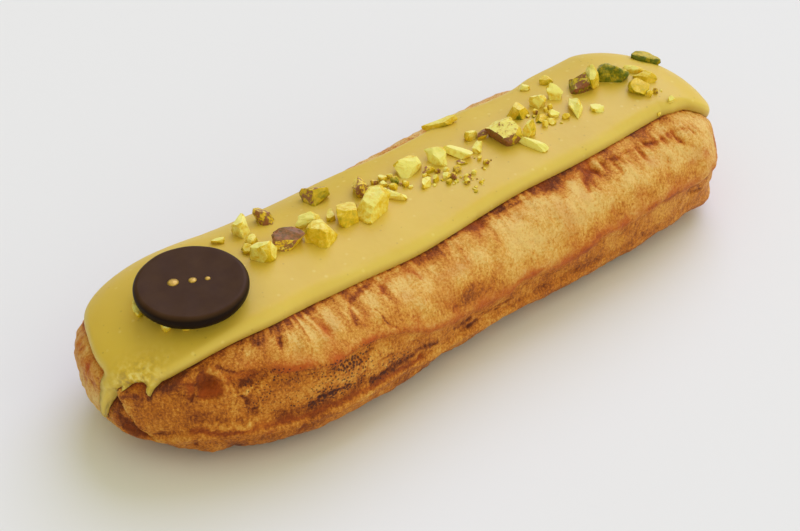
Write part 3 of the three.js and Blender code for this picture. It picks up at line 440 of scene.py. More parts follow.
def cells_away(points, size, seed):
    """Distances to the nearest and the second of points scattered one to a cell, in cells."""
    scaled = points / size
    cell = np.floor(scaled)
    nearest = np.full(len(points), 9.0)
    second = nearest.copy()
    for shift in np.ndindex(3, 3, 3):
        at = cell + shift - 1
        spot = at + np.stack([lattice(at, seed + i) for i in range(3)], axis=1)
        away = np.linalg.norm(scaled - spot, axis=1)
        second = np.minimum(second, np.maximum(nearest, away))
        nearest = np.minimum(nearest, away)
    return nearest, second


def along(values, x):
    """A smooth curve through values at even steps along the pastry."""
    values = np.asarray(values, float)
    padded = np.concatenate([[2 * values[0] - values[1]], values, [2 * values[-1] - values[-2]]])
    place = np.clip((x + LENGTH / 2) / LENGTH, 0, 1) * (len(values) - 1)
    i = np.minimum(np.floor(place), len(values) - 2).astype(int)
    u = place - i
    a, b, c, d = (padded[i + k] for k in range(4))
    return b + 0.5 * ((c - a) * u + (2 * a - 5 * b + 4 * c - d) * u**2 + (3 * b - a - 3 * c + d) * u**3)


def on_lap_line(line, lap):
    """The value at a lap on a line of (lap, value) pairs that closes on itself."""
    return np.interp(lap, *zip(*line), period=4)


def even_edge(lap):
    """The climb of the icing's edge, evened out, without its drip and tooth."""
    return sum(on_lap_line(ICING_EDGE, lap + away) for away in (-0.036, -0.018, 0, 0.018, 0.036)) / 5


def icing_edge(lap):
    """The climb of the icing's edge with its drip and tooth."""
    return even_edge(lap) - on_lap_line(ICING_DROP, lap)


def mm_per_lap(lap):
    """Millimetres round the crust to a lap, for the side that each lap is on."""
    return MM_PER_LAP[np.floor(np.mod(lap, 4)).astype(int)]


def laps_apart(a, b):
    """Laps between two places, the short way round."""
    away = np.abs(np.mod(a - b, 4))
    return np.minimum(away, 4 - away)


def inside_edge(lap, climb):
    """How far inside the icing's edge a place is, in millimetres, up to the width of its rounding."""
    samples = np.arange(0, 4, EDGE_STEP)
    edge = icing_edge(samples)
    nearest = np.full(lap.shape, EDGE_ROUNDING)
    middle = np.round(np.mod(lap, 4) / EDGE_STEP).astype(int)
    for shift in range(-EDGE_STEPS_NEAR, EDGE_STEPS_NEAR + 1):
        i = (middle + shift) % len(samples)
        across = laps_apart(samples[i], lap) * mm_per_lap(samples[i])
        nearest = np.minimum(nearest, np.hypot(across, (climb - edge[i]) * MM_PER_DEGREE))
    return nearest


def plan_at(lap):
    """The spine's x inside the pastry, and the x and y of its widest point, for each lap."""
    lap = np.mod(lap, 4)
    side = np.floor(lap)
    u = lap - side
    disc_x = -LENGTH / 2 + DISC_END_LENGTH
    plain_x = LENGTH / 2 - PLAIN_END_LENGTH
    plain = side == 1
    straight = np.where(side == 0, disc_x + (plain_x - disc_x) * u, plain_x + (disc_x - plain_x) * u)
    power = np.where(plain, 2 / PLAIN_END_SQUARENESS, 2 / DISC_END_SQUARENESS)
    reach = np.sin(u * np.pi)
    across = np.cos(u * np.pi) * np.where(plain, -1, 1)
    end_x = np.where(plain, plain_x, disc_x)
    round_x = end_x + np.where(plain, PLAIN_END_LENGTH, -DISC_END_LENGTH) * np.abs(reach) ** power
    is_side = (side == 0) | (side == 2)
    rim_x = np.where(is_side, straight, round_x)
    front = np.where(is_side, side == 0, across < 0)
    half = np.where(front, along(FRONT_HALF_WIDTHS, rim_x), along(BACK_HALF_WIDTHS, rim_x))
    lean = np.where(plain, PLAIN_END_LEAN, DISC_END_LEAN) * reach
    round_y = lean + np.sign(across) * np.abs(across) ** power * half
    rim_y = np.where(is_side, np.where(front, -half, half), round_y)
    return np.where(is_side, straight, end_x), rim_x, rim_y


def wound(lap):
    """Millimetres round the pastry's widest line, wound on a circle so that the start meets the end."""
    laps = np.linspace(0, 4, 2001)
    _, x, y = plan_at(laps)
    length = np.concatenate([[0], np.cumsum(np.hypot(np.diff(x), np.diff(y)))])
    radius = length[-1] / (2 * np.pi)
    turn = np.interp(np.mod(lap, 4), laps, length) / radius
    return radius * np.cos(turn), radius * np.sin(turn)


def stretched(lap, climb, stretch):
    """Places on the crust for a noise that is drawn out up and down, or along it if stretch is below 1."""
    x, y = wound(lap)
    along_it, up_it = min(1, stretch), max(1, stretch)
    return np.stack([x * along_it, y * along_it, climb * MM_PER_DEGREE / up_it], axis=1)


def front_run(lap):
    """Millimetres along the crust from the start of the front side, and less back round the disc end."""
    laps = (-1.4, -1, 0, 1, 2, 2.6)
    return np.interp(np.where(np.greater(lap, 2.6), lap - 4, lap), laps, (-134, -95, 0, 97.5, 157.5, 216))


def ovals(marks, run, down):
    """How much browner, redder and deeper the oval marks make each place."""
    total = np.zeros((3, len(run)))
    for lap, mark_down, half_length, half_height, turn, *amounts in marks:
        across, below = run - front_run(lap), down - mark_down
        cos, sin = math.cos(math.radians(turn)), math.sin(math.radians(turn))
        along_it, over_it = across * cos + below * sin, below * cos - across * sin
        away = np.hypot(along_it / half_length, over_it / half_height)
        total += np.array(amounts)[:, None] * bell(away, 1)
    return total


def strokes(lines, run, down):
    """How much browner, redder and deeper the lines make each place."""
    total = np.zeros((3, len(run)))
    for points, half_width, *amounts in lines:
        nearest = np.full(len(run), 99.0)
        for (lap_a, down_a), (lap_b, down_b) in zip(points, points[1:]):
            across, below = run - front_run(lap_a), down - down_a
            length, drop = front_run(lap_b) - front_run(lap_a), down_b - down_a
            share = np.clip((across * length + below * drop) / (length**2 + drop**2), 0, 1)
            nearest = np.minimum(nearest, np.hypot(across - share * length, below - share * drop))
        total += np.array(amounts)[:, None] * bell(nearest, half_width)
    return total


def marks_behind():
    """Marks like those in front for the rest of the crust: orange spots, dark dots, dents painted browner
    inside as shade, and toast.
    """
    marks = []
    for seed in range(90):
        lap = 1.18 + 2.24 * random_from(seed * 2.3 + 7)
        down = 1 + 17 * random_from(seed * 3.1 + 5)
        turn = 60 * (random_from(seed + 0.4) - 0.5)
        size = 0.7 + 0.6 * random_from(seed + 0.8)
        down, *kind = (
            (down, size, size, turn, 0.12, 0.7, 0.1),
            (down, 0.3, 0.4, turn, 0.5, 0.1, 0.3),
            (down, 0.5 * size, 1.4 * size, turn, 0.35, 0.1, 0.25),
            (0.8, 2.4 * size, 0.7, 0, 0.3, 0.2, 0.05),
        )[seed % 4]
        marks.append((lap if lap < 2.6 else lap - 4, down, *kind))
    return marks


def past_cheek(lap, climb):
    """Millimetres from the fold of the disc end, more inside its recess."""
    climbs, laps = zip(*CHEEK_LINE)
    return (np.interp(climb, climbs, laps) - lap) * MM_PER_LAP[3]


def cheek(lap, climb):
    """How deep the recess beside the fold of the disc end is, from 0 to 1."""
    past = past_cheek(lap, climb)
    fades = step(climb, -20, -12) * (1 - step(climb, 12, 20))
    return np.where(lap > 3, step(past, 0, 0.9) * bell(np.maximum(past, 0), 4.2) * fades, 0)


def crust_lines(lap):
    """The climbs of the evened icing edge, the long ridge and the crack above the foot."""
    edge = even_edge(lap)
    ridge = np.minimum(on_lap_line(RIDGE_LINE, lap), edge - 5)
    return edge, ridge, np.minimum(on_lap_line(CRACK_LINE, lap), ridge - 5)


def folds(lap, climb, narrow=1.0):
    """How deep the short folds under the icing are, in millimetres."""
    total = np.zeros(lap.shape)
    for fold_lap, fold_climb, depth, half_width, half_height in FOLDS:
        across = laps_apart(lap, fold_lap) * mm_per_lap(lap)
        up = (climb - fold_climb) * MM_PER_DEGREE
        total += depth * bell(across, half_width * narrow) * bell(up, half_height)
    return total


def crater_way(lap, climb):
    """The way from the middle of the tear in the crust, 1 where it is about to end."""
    across = (lap - CRATER["lap"]) * MM_PER_LAP[3]
    up = (climb - CRATER["climb"]) * MM_PER_DEGREE + 0.35 * across
    return np.hypot(across / np.where(across < 0, CRATER["left"], CRATER["right"]), up / CRATER["up"])


def relief(lap, climb):
    """What the crust stands proud of its smooth form, in millimetres."""
    lap = np.mod(lap, 4)
    edge, ridge, crack = crust_lines(lap)
    over_ridge = (climb - ridge) * MM_PER_DEGREE
    over_crack = (climb - crack) * MM_PER_DEGREE
    proud = RELIEF_BASE + BULGE * np.sin(np.pi * np.clip((edge - climb) / (edge - ridge), 0, 1))
    proud += on_lap_line(RIDGE_RISE, lap) * bell(over_ridge, np.where(over_ridge > 0, 2.2, 1.0))
    opening = on_lap_line(CRACK_OPEN, lap)
    proud -= BAND_DEPTH * opening * step(over_crack, 0, 1.2) * (1 - step(over_ridge, -2.0, 0))
    proud += opening * (FOOT_ROLL * bell(over_crack + 2.2, 1.4) - CRACK_DEPTH * bell(over_crack, 0.8))
    turn = lap * np.pi / 2
    proud += LUMP * np.sin(13 * turn + climb * 0.11) * np.cos(5 * turn - climb * 0.07 + 1)
    proud -= folds(lap, climb)
    from_crater = crater_way(lap, climb)
    proud += 0.3 * bell(from_crater - 1.6, 0.4)
    proud -= CRATER["depth"] * bell(from_crater, 0.9) + VALLEY_DEPTH * cheek(lap, climb)
    proud *= step(climb, BASE_EDGE_CLIMB, -38) * (1 - step((climb - edge) * MM_PER_DEGREE, 0.3, 3))
    proud += on_lap_line(FOOT_REACH, lap) * (1 - step(climb, -30, -4))
    for at_lap, at_climb, height, half_length, half_height in BLISTERS:
        across = laps_apart(lap, at_lap) * mm_per_lap(lap)
        proud += height * bell(across, half_length) * bell((climb - at_climb) * MM_PER_DEGREE, half_height)
    return proud


def leaned(lap, climb):
    """Laps drawn to the left below the icing, where the drip runs down aslant."""
    pull = DRIP_LEAN["most"] * bell(lap - DRIP_LEAN["lap"], DRIP_LEAN["reach"])
    return lap - pull * (1 - step(climb, -20, 26))


def crust_points(lap, climb, lift=0.0):
    """Points of the crust, or lift millimetres outside it, in millimetres."""
    lap = leaned(lap, climb)
    spine_x, rim_x, rim_y = plan_at(lap)
    angle = np.radians(climb)
    power = np.where(climb > 0, 2 / TOP_SQUARENESS, 2 / BASE_SQUARENESS)
    out = np.where(np.abs(climb) == 90, 0, np.abs(np.cos(angle)) ** power)
    rise = np.abs(np.sin(angle)) ** power
    x = spine_x + (rim_x - spine_x) * out
    above = (along(CROWN_HEIGHTS, x) - WAIST_HEIGHT) * rise
    z = np.where(climb > 0, above, -(WAIST_HEIGHT + BASE_CUT) * rise)
    ray = np.stack([x - spine_x, rim_y * out, z], axis=-1)
    length = np.linalg.norm(ray, axis=-1)
    ray = ray * ((length + relief(lap, climb) + lift) / length)[..., None]
    return np.stack([spine_x + ray[..., 0], ray[..., 1], np.maximum(WAIST_HEIGHT + ray[..., 2], 0)], axis=-1)


def climb_at(lap, share, inset=0.0):
    """The climb a share of the way, in plan, from the top line to the evened edge or an inset from it."""
    edge = np.minimum(even_edge(lap) + inset / MM_PER_DEGREE, 89)
    out = np.cos(np.radians(edge)) ** (2 / TOP_SQUARENESS) * share
    return np.degrees(np.arccos(out ** (TOP_SQUARENESS / 2)))


def icing_lift(lap, climb):
    """The icing's height over the crust: rounded off at its edge and thinner where it hangs down."""
    share = np.clip(inside_edge(lap, climb) / EDGE_ROUNDING, 0, 1)
    hanging = step(even_edge(lap) - climb, -6, 6)
    full = ICING_THICKNESS + (DRIP_THICKNESS - ICING_THICKNESS) * hanging
    return GAP + full * np.sqrt(1 - (1 - share) ** 2)


def mesh_from(bm, name):
    """A new mesh of a bmesh, which is freed."""
    mesh = bpy.data.meshes.new(name)
    bm.to_mesh(mesh)
    bm.free()
    return mesh


def grid_rings(columns, rings):
    """A grid once round the pastry, with so many columns on each side, and each corner's lap and ring."""
    bm = bmesh.new()
    bmesh.ops.create_grid(bm, x_segments=sum(columns), y_segments=rings, size=0.5)
    mesh = mesh_from(bm, "rings")
    flat = np.empty(len(mesh.vertices) * 3)
    mesh.vertices.foreach_get("co", flat)
    across, up, _ = flat.reshape(-1, 3).T + 0.5
    ends = np.concatenate([[0], np.cumsum(columns)]) / sum(columns)
    return mesh, np.interp(across, ends, range(5)), np.round(up * rings).astype(int)


def close_rings(mesh, points, looks):
    """Moves a grid's corners to points in millimetres, joins its seam and top, and stores its looks."""
    mesh.vertices.foreach_set("co", ((points + np.array(MOVED)) * MM).astype(np.float32).ravel())
    for name, values in looks.items():
        mesh.attributes.new(name, "FLOAT", "POINT").data.foreach_set("value", values.astype(np.float32))
    bm = bmesh.new()
    bm.from_mesh(mesh)
    bmesh.ops.remove_doubles(bm, verts=bm.verts, dist=1e-6)
    bmesh.ops.recalc_face_normals(bm, faces=bm.faces)
    bm.to_mesh(mesh)
    bm.free()
    mesh.shade_smooth()


def add_object(name, data):
    """Links a new object to the scene."""
    made = bpy.data.objects.new(name, data)
    bpy.context.scene.collection.objects.link(made)
    return made


def add_piece(name, mesh, material):
    """Links a finished mesh to the scene as a piece of the eclair."""
    mesh.name = name
    mesh.materials.append(material)
    piece = add_object(name, mesh)
    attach(piece, "root")
    return piece


def plug(made, inputs):
    """Links a node's sockets to the outputs given for them, or sets their values."""
    for socket, value in inputs.items():
        if isinstance(value, bpy.types.NodeSocket):
            made.id_data.links.new(value, made.inputs[socket])
        else:
            made.inputs[socket].default_value = value


def node(tree, kind, inputs=None, out=0, stops=(), **settings):
    """Adds a node with its settings, its inputs and its colour stops, and gives back one of its outputs."""
    made = tree.nodes.new("ShaderNode" + kind)
    for name, value in settings.items():
        setattr(made, name, value)
    plug(made, inputs or {})
    for i, (position, stop_colour) in enumerate(stops):
        elements = made.color_ramp.elements
        element = elements[i] if i < len(elements) else elements.new(position)
        element.position = position
        element.color = stop_colour
    return made.outputs[out]


def new_material(name):
    """A material, the helper that adds nodes to it, its shader and its object coordinates."""
    material = bpy.data.materials.new(name)
    material.use_nodes = True
    tree = material.node_tree
    add = partial(node, tree)
    return material, add, tree.nodes["Principled BSDF"], add("TexCoord", out="Object")


def per_mm(size):
    """The scale of a pattern on object coordinates whose lumps are size millimetres across."""
    return 1 / (size * MM)


def baked_choux(colours):
    """Choux pastry, baked dry: a thin matt crust, browner where it stood out or was wet, with dark specks."""
    material, add, shader, place = new_material("baked_choux")
    names = ("bake_and_shade", "char", "pore", "blush_and_shade")
    bake_and_shade, char, pore, blush_and_shade = [add("Attribute", out="Fac", attribute_name=name) for name in names]
    # Wrinkled skin, 0.5 mm and finer, which also makes the bump: its hollows are painted browner, as painted
    # shade, and its crests paler, as painted highlight
    skin = add("TexNoise", {"Vector": place, "Scale": per_mm(0.5), "Detail": 4.0, "Roughness": 0.7})
    # Stretch marks where the dough rose, 0.5 mm apart and three times as long up the side
    squeezed = add("VectorMath", {0: place, 1: (1, 1, 0.3)}, operation="MULTIPLY")
    fibre = add("TexNoise", {"Vector": squeezed, "Scale": per_mm(0.5), "Detail": 2.0})
    blotch = add("TexNoise", {"Vector": place, "Scale": per_mm(5), "Detail": 3.0, "Roughness": 0.6})
    # Noise is 0.5 on average, so what the three of them add to the browning is taken off again
    fine = add("Math", {0: skin, 1: -1.1, 2: 0.55}, operation="MULTIPLY_ADD")
    wide = add("Math", {0: blotch, 1: 0.5, 2: fine}, operation="MULTIPLY_ADD")
    drawn = add("Math", {0: fibre, 1: 0.5, 2: wide}, operation="MULTIPLY_ADD")
    uneven = add("Math", {0: drawn, 1: 0.5}, operation="SUBTRACT")
    baked = add("Math", {0: uneven, 1: bake_and_shade}, operation="ADD", use_clamp=True)
    tones = (
        (0.0, colours.crust_pale),
        (0.25, colours.crust_golden),
        (0.5, colours.crust_orange),
        (0.75, colours.crust_brown),
        (1.0, colours.crust_dark),
    )
    crust = add("ValToRGB", {"Fac": baked}, stops=tones)
    blushed = add("Mix", {"Factor": blush_and_shade, "A": crust, "B": colours.crust_blush}, "Result", data_type="RGBA")
    # Scorched specks, 0.65 mm apart where they are thick, larger where the char attribute is high
    specks = add("TexVoronoi", {"Vector": place, "Scale": per_mm(0.65)})
    ragged = add("Math", {0: skin, 1: 0.5, 2: specks}, operation="MULTIPLY_ADD")
    size = add("Math", {0: char, 1: 0.75, 2: 0.2}, operation="MULTIPLY_ADD")
    inside = add("Math", {0: size, 1: ragged}, operation="SUBTRACT")
    speck = add("MapRange", {"Value": inside, "From Min": -0.02, "From Max": 0.1, "To Max": 0.85})
    specked = add("Mix", {"Factor": speck, "A": blushed, "B": colours.crust_char}, "Result", data_type="RGBA")
    # Open pores, 1.2 mm across
    pits = add("TexVoronoi", {"Vector": place, "Scale": per_mm(1.2)}, feature="SMOOTH_F1")
    pitted = add("Math", {0: pits, 1: pore}, operation="MULTIPLY")
    height = add("Math", {0: pitted, 1: skin}, operation="ADD")
    crust_look = {
        "Base Color": specked,
        "Normal": add("Bump", {"Height": height, "Strength": 0.9, "Distance": 0.6 * MM}),
        "Roughness": 0.5,
        "Specular IOR Level": 0.2,
        "Subsurface Weight": 0.05,
        "Subsurface Radius": (1.0, 0.45, 0.15),
        "Subsurface Scale": 0.8 * MM,
    }
    plug(shader, crust_look)
    return material


def pistachio_glaze(colours):
    """Fondant with pistachio paste, poured and set: smooth, satin, a little translucent, flecked with nut."""
    material, add, shader, place = new_material("pistachio_glaze")
    # Cloudy streaks of paste, about 14 mm across
    cloud = add("TexNoise", {"Vector": place, "Scale": per_mm(14), "Detail": 2.0})
    icing = add("ValToRGB", {"Fac": cloud}, stops=((0.3, colours.icing_deep), (0.7, colours.icing)))
    # Painted light: the steep side is painted paler and greener than the top, to even out the warmer light
    # that falls on it
    flank_painted_light = add("Attribute", out="Fac", attribute_name="flank_painted_light")
    coat = add("Mix", {"Factor": flank_painted_light, "A": icing, "B": colours.icing_flank_painted_light}, "Result", data_type="RGBA")
    # Ground nut: dark flecks and pale ones, 0.3 mm across and a few millimetres apart
    for spacing, near, far, fleck_colour in (
        (2.4, 0.07, 0.11, colours.icing_fleck),
        (3.1, 0.04, 0.16, colours.icing_pale),
    ):
        away = add("TexVoronoi", {"Vector": place, "Scale": per_mm(spacing)})
        ends = {"From Min": near, "From Max": far, "To Min": 0.3, "To Max": 0.0}
        fleck = add("MapRange", {"Value": away, **ends})
        coat = add("Mix", {"Factor": fleck, "A": coat, "B": fleck_colour}, "Result", data_type="RGBA")
    # Curdled icing at the disc end, in lumps of about 1.2 mm
    curd = add("Attribute", out="Fac", attribute_name="curd")
    lumps = add("TexNoise", {"Vector": place, "Scale": per_mm(1.2), "Detail": 3.0})
    curds = ((0.35, colours.icing_fleck), (0.5, colours.icing), (0.65, colours.icing_pale))
    mixed = add("ValToRGB", {"Fac": lumps}, stops=curds)
    most = add("Math", {0: curd, 1: 0.85}, operation="MULTIPLY")
    curdled = add("Mix", {"Factor": most, "A": coat, "B": mixed}, "Result", data_type="RGBA")
    # The edge is painted darker: partly a thinner coat that lets the brown crust through, partly painted
    # shade along its rounded rim
    rim = add("Attribute", out="Fac", attribute_name="rim")
    thin_edge_and_shade = add("Math", {0: rim, 1: 0.7}, operation="MULTIPLY")
    edged = add("Mix", {"Factor": thin_edge_and_shade, "A": curdled, "B": colours.icing_edge}, "Result", data_type="RGBA")
    rough = add("Math", {0: lumps, 1: curd}, operation="MULTIPLY")
    swell = add("TexNoise", {"Vector": place, "Scale": per_mm(4), "Detail": 2.0})
    height = add("Math", {0: rough, 1: swell}, operation="ADD")
    icing_look = {
        "Base Color": edged,
        "Normal": add("Bump", {"Height": height, "Strength": 0.35, "Distance": 0.3 * MM}),
        "Roughness": 0.42,
        "Specular IOR Level": 0.3,
        "Subsurface Weight": 0.3,
        "Subsurface Radius": (1.0, 0.75, 0.25),
        "Subsurface Scale": 2.0 * MM,
    }
    plug(shader, icing_look)
    return material


def chopped_pistachio(colours):
    """Raw pistachio, chopped: pale cut flesh from cream to green, with scraps of its purple-brown skin."""
    material, add, shader, place = new_material("chopped_pistachio")
    green_and_painted_light, skin = [add("Attribute", out="Fac", attribute_name=name) for name in ("green_and_painted_light", "skin")]
    grain = add("TexNoise", {"Vector": place, "Scale": per_mm(1.0), "Detail": 4.0, "Roughness": 0.65})
    shade = add("Math", {0: grain, 1: 1.2, 2: -0.6}, operation="MULTIPLY_ADD")
    tinted = add("Math", {0: shade, 1: green_and_painted_light}, operation="ADD", use_clamp=True)
    greens = (
        (0.0, colours.nut_cream),
        (0.38, colours.nut_yellow),
        (0.68, colours.nut_lime),
        (1.0, colours.nut_green),
    )
    flesh = add("ValToRGB", {"Fac": tinted}, stops=greens)
    # The skin breaks off in ragged patches about 1 mm across
    ragged = add("Math", {0: shade, 1: skin}, operation="ADD")
    covered = add("MapRange", {"Value": ragged, "From Min": 0.45, "From Max": 0.58, "To Max": 0.92})
    browns = ((0.36, colours.nut_husk), (0.6, colours.nut_husk_pale))
    husk = add("ValToRGB", {"Fac": grain}, stops=browns)
    nut_look = {
        "Base Color": add("Mix", {"Factor": covered, "A": flesh, "B": husk}, "Result", data_type="RGBA"),
        "Normal": add("Bump", {"Height": grain, "Strength": 0.6, "Distance": 0.3 * MM}),
        "Roughness": 0.45,
        "Specular IOR Level": 0.35,
        "Subsurface Weight": 0.25,
        "Subsurface Radius": (1.0, 0.9, 0.3),
        "Subsurface Scale": 0.8 * MM,
    }
    plug(shader, nut_look)
    return material


def dark_chocolate(colours):
    """Dark chocolate, cast in a flat mould: even, satin, with a faint dusty bloom and a few scuffs."""
    material, add, shader, place = new_material("dark_chocolate")
    bloom = add("TexNoise", {"Vector": place, "Scale": per_mm(3.5), "Detail": 5.0})
    browns = ((0.35, colours.chocolate), (0.8, colours.chocolate_bloom))
    surface = add("ValToRGB", {"Fac": bloom}, stops=browns)
    # Painted shade: the rim and underside, facing away from the light, are painted darker than the top, which
    # shows the bloom
    upward = add("SeparateXYZ", {"Vector": add("NewGeometry", out="Normal")}, "Z")
    facing_up_painted_light = add("MapRange", {"Value": upward, "From Min": 0.35, "From Max": 0.95})
    fine = add("TexNoise", {"Vector": place, "Scale": per_mm(0.8), "Detail": 2.0})
    scuffs = {"Value": bloom, "From Min": 0.3, "From Max": 0.7, "To Min": 0.36, "To Max": 0.48}
    lit_top_shaded_side = {"Factor": facing_up_painted_light, "A": colours.chocolate_side_painted_shade, "B": surface}
    chocolate_look = {
        "Base Color": add("Mix", lit_top_shaded_side, "Result", data_type="RGBA"),
        "Normal": add("Bump", {"Height": fine, "Strength": 0.15, "Distance": 0.1 * MM}),
        "Roughness": add("MapRange", scuffs),
        "Specular IOR Level": 0.06,
    }
    plug(shader, chocolate_look)
    return material


def gold_cocoa_butter(colours):
    """Cocoa butter with gold lustre dust, dabbed on: a soft metallic yellow."""
    material, add, shader, place = new_material("gold_cocoa_butter")
    dust = add("TexNoise", {"Vector": place, "Scale": per_mm(0.5), "Detail": 2.0})
    surface = add("ValToRGB", {"Fac": dust}, stops=((0.3, colours.gold_shade), (0.7, colours.gold)))
    plug(shader, {"Base Color": surface, "Metallic": 0.35, "Roughness": 0.4})
    return material


def matt_white_board(colours):
    """White board under the pastry: matt, so that it mirrors nothing."""
    material, _, shader, _ = new_material("matt_white_board")
    plug(shader, {"Base Color": colours.floor, "Roughness": 0.6, "Specular IOR Level": 0.2})
    return material


def colour(name, description, hex_code):
    """A property for a colour, given as sRGB hex."""
    about = {"name": name, "description": description, "subtype": "COLOR"}
    return FloatVectorProperty(**about, size=4, min=0, max=1, default=linear(hex_code))


def fine_size(name, description, value, most):
    """A property for a height or depth in a surface, given in millimetres."""
    about = {"name": name, "description": description, "unit": "LENGTH", "precision": 5}
    return FloatProperty(**about, default=value * MM, min=0, max=most * MM)


class EclairColours(bpy.types.PropertyGroup):
    """The colours of the pastry, its icing, nuts, chocolate and floor."""

    crust_pale: colour("Pale Crust", "Crust that baked least", "#F4CC7A")
    crust_golden: colour("Golden Crust", "Evenly baked crust", "#E7AA4A")
    crust_orange: colour("Caramel Crust", "Crust near ridges and edges", "#CD7A22")
    crust_brown: colour("Brown Crust", "Well baked crust", "#984D16")
    crust_dark: colour("Dark Crust", "Crust in cracks and pores", "#5F290C")
    crust_blush: colour("Orange Crust", "Crust on ridges and in spots", "#CA5E1C")
    crust_char: colour("Scorched Specks", "Specks that caught the heat", "#45231F")
    icing: colour("Icing", "Pistachio icing", "#DAB628")
    icing_flank_painted_light: colour("Icing Flank", "Icing where it runs down the side", "#DABF58")
    icing_deep: colour("Deep Icing", "Icing where the paste is thicker", "#D0A822")
    icing_edge: colour("Icing Edge", "Thin icing over the crust", "#B48A2A")
    icing_pale: colour("Pale Fleck", "Pale flecks and lumps in the icing", "#F0E28E")
    icing_fleck: colour("Dark Fleck", "Flecks of ground nut in the icing", "#9C7A34")
    nut_cream: colour("Cream Nut", "Palest chopped nut", "#F3E97E")
    nut_yellow: colour("Yellow Nut", "Yellow chopped nut", "#E5BF20")
    nut_lime: colour("Lime Nut", "Yellow-green chopped nut", "#C2AA14")
    nut_green: colour("Green Nut", "Greenest chopped nut", "#5F6C0C")
    nut_husk: colour("Nut Skin", "Dark skin of the nut", "#5A3218")
    nut_husk_pale: colour("Pale Nut Skin", "Purple skin of the nut", "#98583C")
    chocolate: colour("Chocolate", "Dark chocolate", "#402916")
    chocolate_side_painted_shade: colour("Chocolate Side", "Unbloomed chocolate of the rim", "#1C1008")
    chocolate_bloom: colour("Chocolate Bloom", "Dusty chocolate", "#4A3320")
    gold: colour("Gold", "Gold dots on the chocolate", "#D9B24A")
    gold_shade: colour("Gold Shade", "Thinner gold", "#A8802C")
    floor: colour("Floor", "Floor under the eclair", "#E8E8E8")


class EclairSizes(bpy.types.PropertyGroup):
    """Sizes that can be changed without leaving the form of the solids."""

    crust_roughness: fine_size("Crust Roughness", "Height of the fine lumps of the crust", 0.28, 1)
    pore_depth: fine_size("Pore Depth", "Depth of the open pores at the disc end", 0.8, 2)
    icing_swell: fine_size("Icing Swell", "Height of the slow waves in the icing", 0.12, 0.5)
    fine_crumbs: IntProperty(
        name="Fine Crumbs", description="Nut crumbs too small for the solids", default=60, min=0, max=400
    )


class ECLAIR_OT_crust(bpy.types.Operator):
    """Build the baked crust with its ridge, folds, crack and pores"""

    bl_idname = "eclair.crust"
    bl_label = "Build Crust"

    def execute(self, context):
        hidden, shown = CRUST_RINGS["hidden"], CRUST_RINGS["shown"]
        mesh, lap, ring = grid_rings(CRUST_COLUMNS, hidden + shown + len(BASE_CLIMBS))
        top = icing_edge(lap) + CRUST_UNDER_EDGE / MM_PER_DEGREE
        climb = climb_at(lap, np.minimum(ring, hidden) * HIDDEN_RING_SHARE)
        way = (ring - hidden) / (shown - 1)
        climb = np.where(ring >= hidden, top + (BASE_EDGE_CLIMB - top) * way, climb)
        for past_edge, base_climb in enumerate(BASE_CLIMBS):
            climb = np.where(ring >= hidden + shown + past_edge, base_climb, climb)
        at = crust_place(lap, climb)
        points = crust_points(lap, climb, fine_relief(at, context.scene.eclair_sizes))
        spine_x = plan_at(lap)[0]
        base = np.stack([spine_x, np.zeros_like(spine_x), np.zeros_like(spine_x)], axis=1)
        points = np.where((climb == -90)[:, None], base, points)
        looks = {"bake_and_shade": browning_and_shade(at), "blush_and_shade": reddening_and_shade(at), "char": scorching(at), "pore": at.pore}
        close_rings(mesh, points, {name: np.clip(value, 0, 1) for name, value in looks.items()})
        crust = add_piece("choux_crust", mesh, baked_choux(context.scene.eclair_colours))
        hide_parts("choux_shell")
        return {"FINISHED"}


